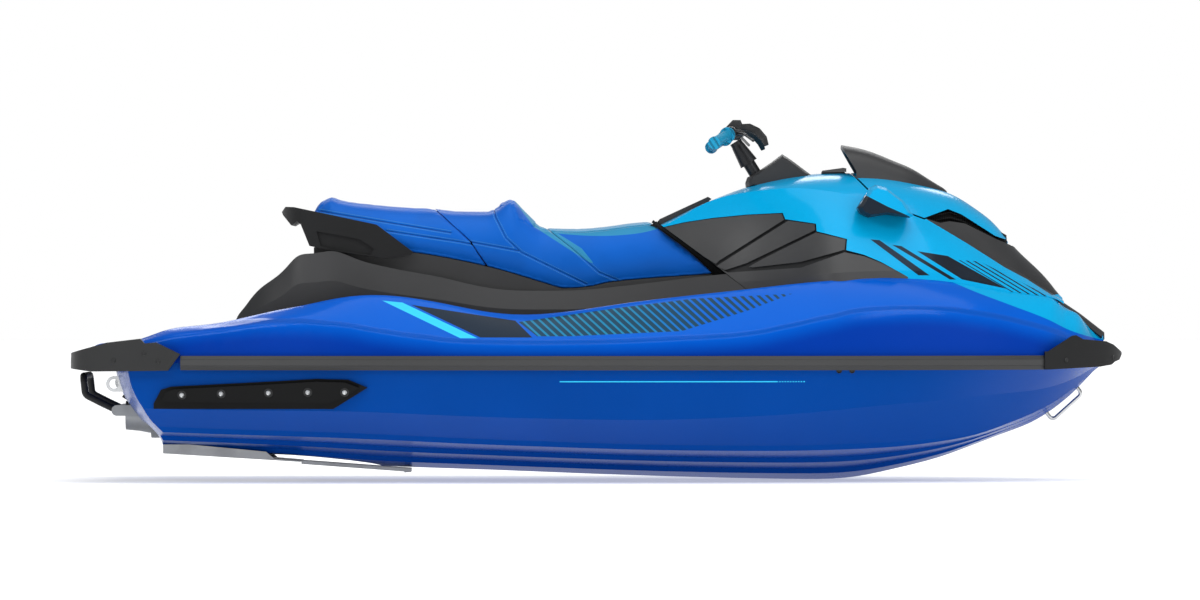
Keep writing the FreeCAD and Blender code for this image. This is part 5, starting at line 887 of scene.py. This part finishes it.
class WATERCRAFT_OT_finish_cowl(bpy.types.Operator):
    """Finish the cowl, the hood and the panels round them"""

    bl_idname = "watercraft.finish_cowl"
    bl_label = "Finish Cowl"

    def execute(self, context):
        sizes = settings()
        dress(cowl_paint(), "front_cowl", "hood")
        dress(plastic("panel_plastic", sizes.trim_grey, 0.0001, 0.42),
              "nose_spine", "visor", "steering_cover", "glovebox_lid")
        dress(plastic("knee_plastic", (0.041, 0.0412, 0.042), 0.0001, 0.42), "knee_panels")
        dress(mirror_finish(), "mirror_left", "mirror_right")
        dress(plastic("liner_plastic", (0.012, 0.0125, 0.013), 0.0002, 0.6),
              "cowl_liner", "storage_tub", "glovebox_bin")
        dress(screen_finish(), "display")
        self.add_pod(plastic("pod_plastic", (0.012, 0.0125, 0.013), 0.0001, 0.45))
        dress(metal("hinge_steel", (0.06, 0.062, 0.065), 0.45), "hood_hinge")
        return {"FINISHED"}

    def add_pod(self, finish):
        """Stand the display on a pod that widens down into the cowl."""
        low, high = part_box("display")
        middle = (low + high) * 0.5
        form = bmesh.new()
        made = bmesh.ops.create_cube(form, size=1.0)
        for vert in made["verts"]:
            spread = 0.92 if vert.co.z > 0 else 1.06
            vert.co = Vector((middle.x + vert.co.x * (high.x - low.x) * spread,
                              vert.co.y * (high.y - low.y) * spread,
                              low.z + 0.001 if vert.co.z > 0 else low.z - POD_DEPTH))
        bmesh.ops.bevel(form, geom=form.edges[:], offset=0.003, segments=2, profile=0.5,
                        affect="EDGES", material=-1)
        add_piece("display_pod", mesh_from(form, "display_pod"), finish, "craft",
                  smooth=False)


class WATERCRAFT_OT_finish_drive(bpy.types.Operator):
    """Finish the jet drive, the ride plate and the boarding step"""

    bl_idname = "watercraft.finish_drive"
    bl_label = "Finish Drive"

    def execute(self, context):
        dress(engine_finish(), "engine")
        dress(metal("cast_alloy", (0.30, 0.31, 0.32), 0.42, (1, 1, 1), 300.0, 0.00015),
              "pump_housing", "trim_ring", "steering_nozzle")
        dress(metal("ride_alloy", (0.32, 0.325, 0.33), 0.34, (0.15, 1, 1)), "ride_plate",
              "intake_grate")
        dress(metal("shaft_steel", (0.58, 0.59, 0.60), 0.2, (1, 8, 8)), "drive_shaft",
              "impeller")
        dress(plastic("bucket_plastic", (0.020, 0.021, 0.022), 0.0002, 0.5), "reverse_bucket")
        dress(rubber("step_rubber", (0.014, 0.0145, 0.015)), "boarding_step")
        dress(metal("bracket_steel", (0.30, 0.31, 0.32), 0.38, (1, 5, 5)), "step_brackets")
        return {"FINISHED"}


class WATERCRAFT_OT_finish_steering(bpy.types.Operator):
    """Finish the handlebar and what it carries"""

    bl_idname = "watercraft.finish_steering"
    bl_label = "Finish Steering"

    def execute(self, context):
        dress(plastic("bar_plastic", (0.018, 0.0185, 0.0195), 0.00012, 0.44),
              "bar_pad", "hand_controls")
        dress(metal("bar_alloy", (0.035, 0.036, 0.038), 0.4, (1, 5, 1)), "handlebar",
              "steering_column")
        dress(grip_rubber(), "grips")
        black = plastic("lever_plastic", (0.014, 0.0145, 0.015), 0.0001, 0.4)
        for name, side in (("left_lever", 1), ("right_lever", -1)):
            self.add_lever(name, side, black)
        return {"FINISHED"}

    def add_lever(self, name, side, finish):
        """Bend a broad lever ahead of a grip, pointing down and forwards."""
        path = [(452, 262, 858), (478, 276, 856), (503, 296, 842), (522, 314, 820), (531, 322, 797)]
        form = bmesh.new()
        rows = []
        for index, (along, across, up) in enumerate(path):
            before, after = path[max(index - 1, 0)], path[min(index + 1, 4)]
            run = Vector((after[0] - before[0], 0, after[2] - before[2])).normalized()
            half = Vector((-run.z, 0, run.x)) * ((9.0, 12.0, 12.5, 11.0, 7.0)[index] * MM)
            centre = Vector((along * MM, side * across * MM, up * MM))
            rows.append([centre - half, centre + half])
        strip(form, rows)
        bmesh.ops.solidify(form, geom=form.faces[:], thickness=0.009)
        bmesh.ops.bevel(form, geom=form.edges[:], offset=0.0022, segments=2, profile=0.5,
                        affect="EDGES", material=-1)
        add_piece(name, mesh_from(form, name), finish, "steering_bar")


class WATERCRAFT_OT_add_fittings(bpy.types.Operator):
    """Add the screws, outlets, intake screens and mirror glasses"""

    bl_idname = "watercraft.add_fittings"
    bl_label = "Add Fittings"

    def execute(self, context):
        steel = metal("screw_steel", (0.50, 0.51, 0.52), 0.28)
        black = plastic("plug_plastic", (0.010, 0.0105, 0.011), 0.0001, 0.5)
        sponsons = {1: "sponson_left", -1: "sponson_right"}
        self.add_screws("sponson_washers", SPONSON_SCREWS, 14.0, 2.0, black, "black_plastic",
                        sponsons)
        self.add_screws("sponson_screws", SPONSON_SCREWS, 7.5, 5.5, steel, "stainless", sponsons)
        self.add_screws("bow_screws", BOW_SCREWS, 8.0, 2.4, black, "black_plastic",
                        {1: "bow_bumper", -1: "bow_bumper"})
        self.add_screws("stern_screws", STERN_SCREWS, 8.0, 2.4, black, "black_plastic",
                        {1: "stern_bumper", -1: "stern_bumper"})
        self.add_screws("hull_outlets", HULL_OUTLETS, 9.0, 5.0, black, "black_plastic",
                        {1: "hull", -1: "hull"})
        weave = screen_weave()
        for name, side in (("intake_screen_left", 1), ("intake_screen_right", -1)):
            self.add_screen(name, side, weave)
        glass = mirror_glass()
        for side in ("left", "right"):
            self.add_glass("mirror_glass_" + side, "mirror_" + side, glass)
        return {"FINISHED"}

    def add_screws(self, name, places, radius, height, finish, slot, nodes):
        """Add a row of round heads on both sides."""
        form = bmesh.new()
        for side, node in nodes.items():
            for along, up in places:
                place, normal = on_side(node, along, up, side)
                add_screw(form, place, normal, radius * MM, height * MM, 0.55)
        add_piece(name, mesh_from(form, name), finish, "craft", smooth=False)

    def add_screen(self, name, side, finish):
        """Add the dark screen that lies behind an air intake, with two slats."""
        form = bmesh.new()
        inset, reach = 23.0, 24.0
        rows = []
        for rise in (-1.0, 0.0, 1.0):
            rows.append([Vector((x, side * (y - inset - rise * reach * 0.85), z + rise * reach)) * MM
                         for x, y, z in INTAKE_LINE])
        strip(form, rows)
        for rise in (-0.35, 0.35):
            outer = [Vector((x, side * (y - 5.0 - rise * reach * 0.85), z + rise * reach)) * MM
                     for x, y, z in INTAKE_LINE[:-1]]
            inner = [point + Vector((0, -side * 18.0, 4.0)) * MM for point in outer]
            strip(form, [outer, inner])
        bmesh.ops.solidify(form, geom=form.faces[:], thickness=0.0025)
        add_piece(name, mesh_from(form, name), finish, "craft", smooth=False)

    def add_glass(self, name, node, finish):
        """Lay a thin oval glass against the rear of a mirror housing."""
        low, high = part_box(node)
        middle = (low + high) * 0.5
        form = bmesh.new()
        bmesh.ops.create_circle(form, cap_ends=True, segments=40, radius=1.0)
        for vert in form.verts:
            across = math.copysign(abs(vert.co.x) ** 0.75, vert.co.x)
            up = math.copysign(abs(vert.co.y) ** 0.75, vert.co.y)
            spot = Vector((low.x - 0.1, middle.y + across * (high.y - low.y) * 0.36,
                           middle.z + up * (high.z - low.z) * 0.27))
            found, place, _, _ = NODES[node].ray_cast(spot, Vector((1, 0, 0)))
            vert.co = Vector(((place.x if found else low.x + 0.02) - 0.0008, spot.y, spot.z))
        made = bmesh.ops.extrude_face_region(form, geom=form.faces[:])
        moved = [item for item in made["geom"] if isinstance(item, bmesh.types.BMVert)]
        bmesh.ops.translate(form, verts=moved, vec=(0.0025, 0, 0))
        add_piece(name, mesh_from(form, name), finish, "hood_body", smooth=False)


class WATERCRAFT_OT_sew_seats(bpy.types.Operator):
    """Sew and fill the rear and the front seat cover"""

    bl_idname = "watercraft.sew_seats"
    bl_label = "Sew Seats"

    def execute(self, context):
        finish = seat_vinyl("seat_vinyl")
        seat_cover("rear_seat_cover", "rear_seat", REAR_SEAMS, finish)
        seat_cover("front_seat_cover", "front_seat", FRONT_SEAMS, finish)
        self.add_gasket()
        return {"FINISHED"}

    def add_gasket(self):
        """Lay the dark sealing strips that close the seams round the seats."""
        finish = rubber("gasket_rubber", (0.008, 0.0085, 0.009))
        form = bmesh.new()
        for line, half in zip(SEAT_JOINTS, (118.0, 96.0)):
            strip(form, [[Vector((x, y, z)) * MM for x, z in line] for y in (-half, half)])
        bmesh.ops.solidify(form, geom=form.faces[:], thickness=0.007)
        for side in (-1, 1):
            foot = []
            for number in range(0, 27):
                spot = Vector((-0.86 + number * 0.045, side * 0.115, 0.9))
                found, place, _, _ = NODES["seat_base"].ray_cast(spot, Vector((0, 0, -1)))
                if found and place.z > 0.30:
                    foot.append(place)
            strip(form, [[place + Vector((0, 0, rise)) for place in foot]
                         for rise in (-0.001, 0.022)])
            for corners in SEAT_CHEEKS:
                cheek = bmesh.ops.create_grid(form, x_segments=1, y_segments=1, size=1.0)
                for vert, (x, z) in zip(cheek["verts"], corners):
                    vert.co = Vector((x, side * 104.0, z)) * MM
        bmesh.ops.solidify(form, geom=form.faces[:], thickness=0.002)
        add_piece("seat_gaskets", mesh_from(form, "seat_gaskets"), finish, "craft",
                  smooth=False)


class WATERCRAFT_OT_build_stage(bpy.types.Operator):
    """Build the studio: floor, sky, lights and camera"""

    bl_idname = "watercraft.build_stage"
    bl_label = "Build Stage"

    def execute(self, context):
        sizes = settings()
        floor_z = CAD_BOX[0][2] - sizes.floor_gap
        form = bmesh.new()
        bmesh.ops.create_circle(form, cap_ends=True, segments=96, radius=sizes.floor_radius)
        bmesh.ops.translate(form, verts=form.verts, vec=(0, 0, floor_z))
        mesh = bpy.data.meshes.new("studio_floor")
        form.to_mesh(mesh)
        form.free()
        finish = Finish("floor_paint", **{
            "Specular IOR Level": 0.1, "Emission Color": (1, 1, 1, 1), "Emission Strength": 0.42})
        cloud = finish.noise(0.4, 3.0)
        finish.drive(Base_Color=finish.shade((0.90, 0.90, 0.90), cloud.rise(0, 1, 0.99, 1.01)),
                     Roughness=cloud.rise(0.0, 1.0, 0.80, 0.90))
        mesh.materials.append(finish.material)
        floor = bpy.data.objects.new("studio_floor", mesh)
        context.scene.collection.objects.link(floor)

        world = bpy.data.worlds.new("studio_air")
        context.scene.world = world
        world.use_nodes = True
        tree = world.node_tree
        tree.nodes.clear()
        output = tree.nodes.new("ShaderNodeOutputWorld")
        air = tree.nodes.new("ShaderNodeBackground")
        place = tree.nodes.new("ShaderNodeTexCoord")
        split = tree.nodes.new("ShaderNodeSeparateXYZ")
        ramp = tree.nodes.new("ShaderNodeValToRGB")
        ramp.color_ramp.elements[0].position = 0.09
        ramp.color_ramp.elements[0].color = (1.0, 1.0, 1.0, 1.0)
        ramp.color_ramp.elements[1].position = 0.20
        ramp.color_ramp.elements[1].color = (0.26, 0.27, 0.28, 1.0)
        tree.links.new(place.outputs["Generated"], split.inputs[0])
        tree.links.new(split.outputs[2], ramp.inputs[0])
        tree.links.new(ramp.outputs[0], air.inputs[0])
        tree.links.new(air.outputs[0], output.inputs[0])
        air.inputs[1].default_value = 1.0

        self.add_sun(context, "sky_sun", (0.18, -0.30, 1.0), 1.7, 1.1)
        self.add_panel(context, "left_panel", (-3.4, -4.6, 3.4), (-0.3, 0, 0.2), (3.2, 1.2), 75.0)
        self.add_panel(context, "right_panel", (3.6, -4.2, 2.6), (0.8, 0, 0.3), (2.0, 1.4), 40.0)
        self.add_panel(context, "back_panel", (0.0, 4.8, 3.2), (0, 0, 0.3), (5.0, 1.2), 70.0)

        lens = bpy.data.cameras.new("photo_camera")
        lens.lens = 250.0
        lens.sensor_width = 36.0
        lens.clip_end = 400.0
        camera = bpy.data.objects.new("photo_camera", lens)
        camera.location = (0.0016, -sizes.camera_distance - 0.3, 0.308)
        camera.rotation_euler = (math.radians(90), 0, 0)
        context.scene.collection.objects.link(camera)
        context.scene.camera = camera
        context.scene.view_settings.view_transform = "Standard"
        return {"FINISHED"}

    def add_sun(self, context, name, toward, strength, angle):
        """Add a broad soft sun that shines from a direction."""
        data = bpy.data.lights.new(name, "SUN")
        data.energy = strength
        data.angle = angle
        lamp = bpy.data.objects.new(name, data)
        lamp.rotation_euler = Vector(toward).to_track_quat("Z", "Y").to_euler()
        context.scene.collection.objects.link(lamp)

    def add_panel(self, context, name, place, target, size, energy):
        """Add a soft light panel at a place, facing its target."""
        data = bpy.data.lights.new(name, "AREA")
        data.shape = "RECTANGLE"
        data.size, data.size_y = size
        data.energy = energy
        lamp = bpy.data.objects.new(name, data)
        lamp.location = place
        lamp.rotation_euler = (Vector(place) - Vector(target)).to_track_quat("Z", "Y").to_euler()
        context.scene.collection.objects.link(lamp)


class WATERCRAFT_PT_panel(bpy.types.Panel):
    """Lists the steps that dress the craft"""

    bl_label = "Watercraft"
    bl_idname = "WATERCRAFT_PT_panel"
    bl_space_type = "VIEW_3D"
    bl_region_type = "UI"
    bl_category = "Watercraft"

    def draw(self, context):
        for step in STEPS:
            self.layout.operator(step.bl_idname)
        for name in WatercraftSettings.__annotations__:
            self.layout.prop(context.scene.watercraft, name)


STEPS = (
    WATERCRAFT_OT_finish_hull,
    WATERCRAFT_OT_finish_deck,
    WATERCRAFT_OT_finish_cowl,
    WATERCRAFT_OT_finish_drive,
    WATERCRAFT_OT_finish_steering,
    WATERCRAFT_OT_add_fittings,
    WATERCRAFT_OT_sew_seats,
    WATERCRAFT_OT_build_stage,
)
CLASSES = (WatercraftSettings, *STEPS, WATERCRAFT_PT_panel)


def register():
    """Register the classes and the settings."""
    for item in CLASSES:
        bpy.utils.register_class(item)
    bpy.types.Scene.watercraft = bpy.props.PointerProperty(type=WatercraftSettings)


def unregister():
    """Remove the settings and the classes."""
    del bpy.types.Scene.watercraft
    for item in reversed(CLASSES):
        bpy.utils.unregister_class(item)


def main():
    """Dress the craft and build its stage."""
    register()
    bpy.ops.watercraft.finish_hull()
    bpy.ops.watercraft.finish_deck()
    bpy.ops.watercraft.finish_cowl()
    bpy.ops.watercraft.finish_drive()
    bpy.ops.watercraft.finish_steering()
    bpy.ops.watercraft.add_fittings()
    bpy.ops.watercraft.sew_seats()
    bpy.ops.watercraft.build_stage()


if __name__ == "__main__":
    main()
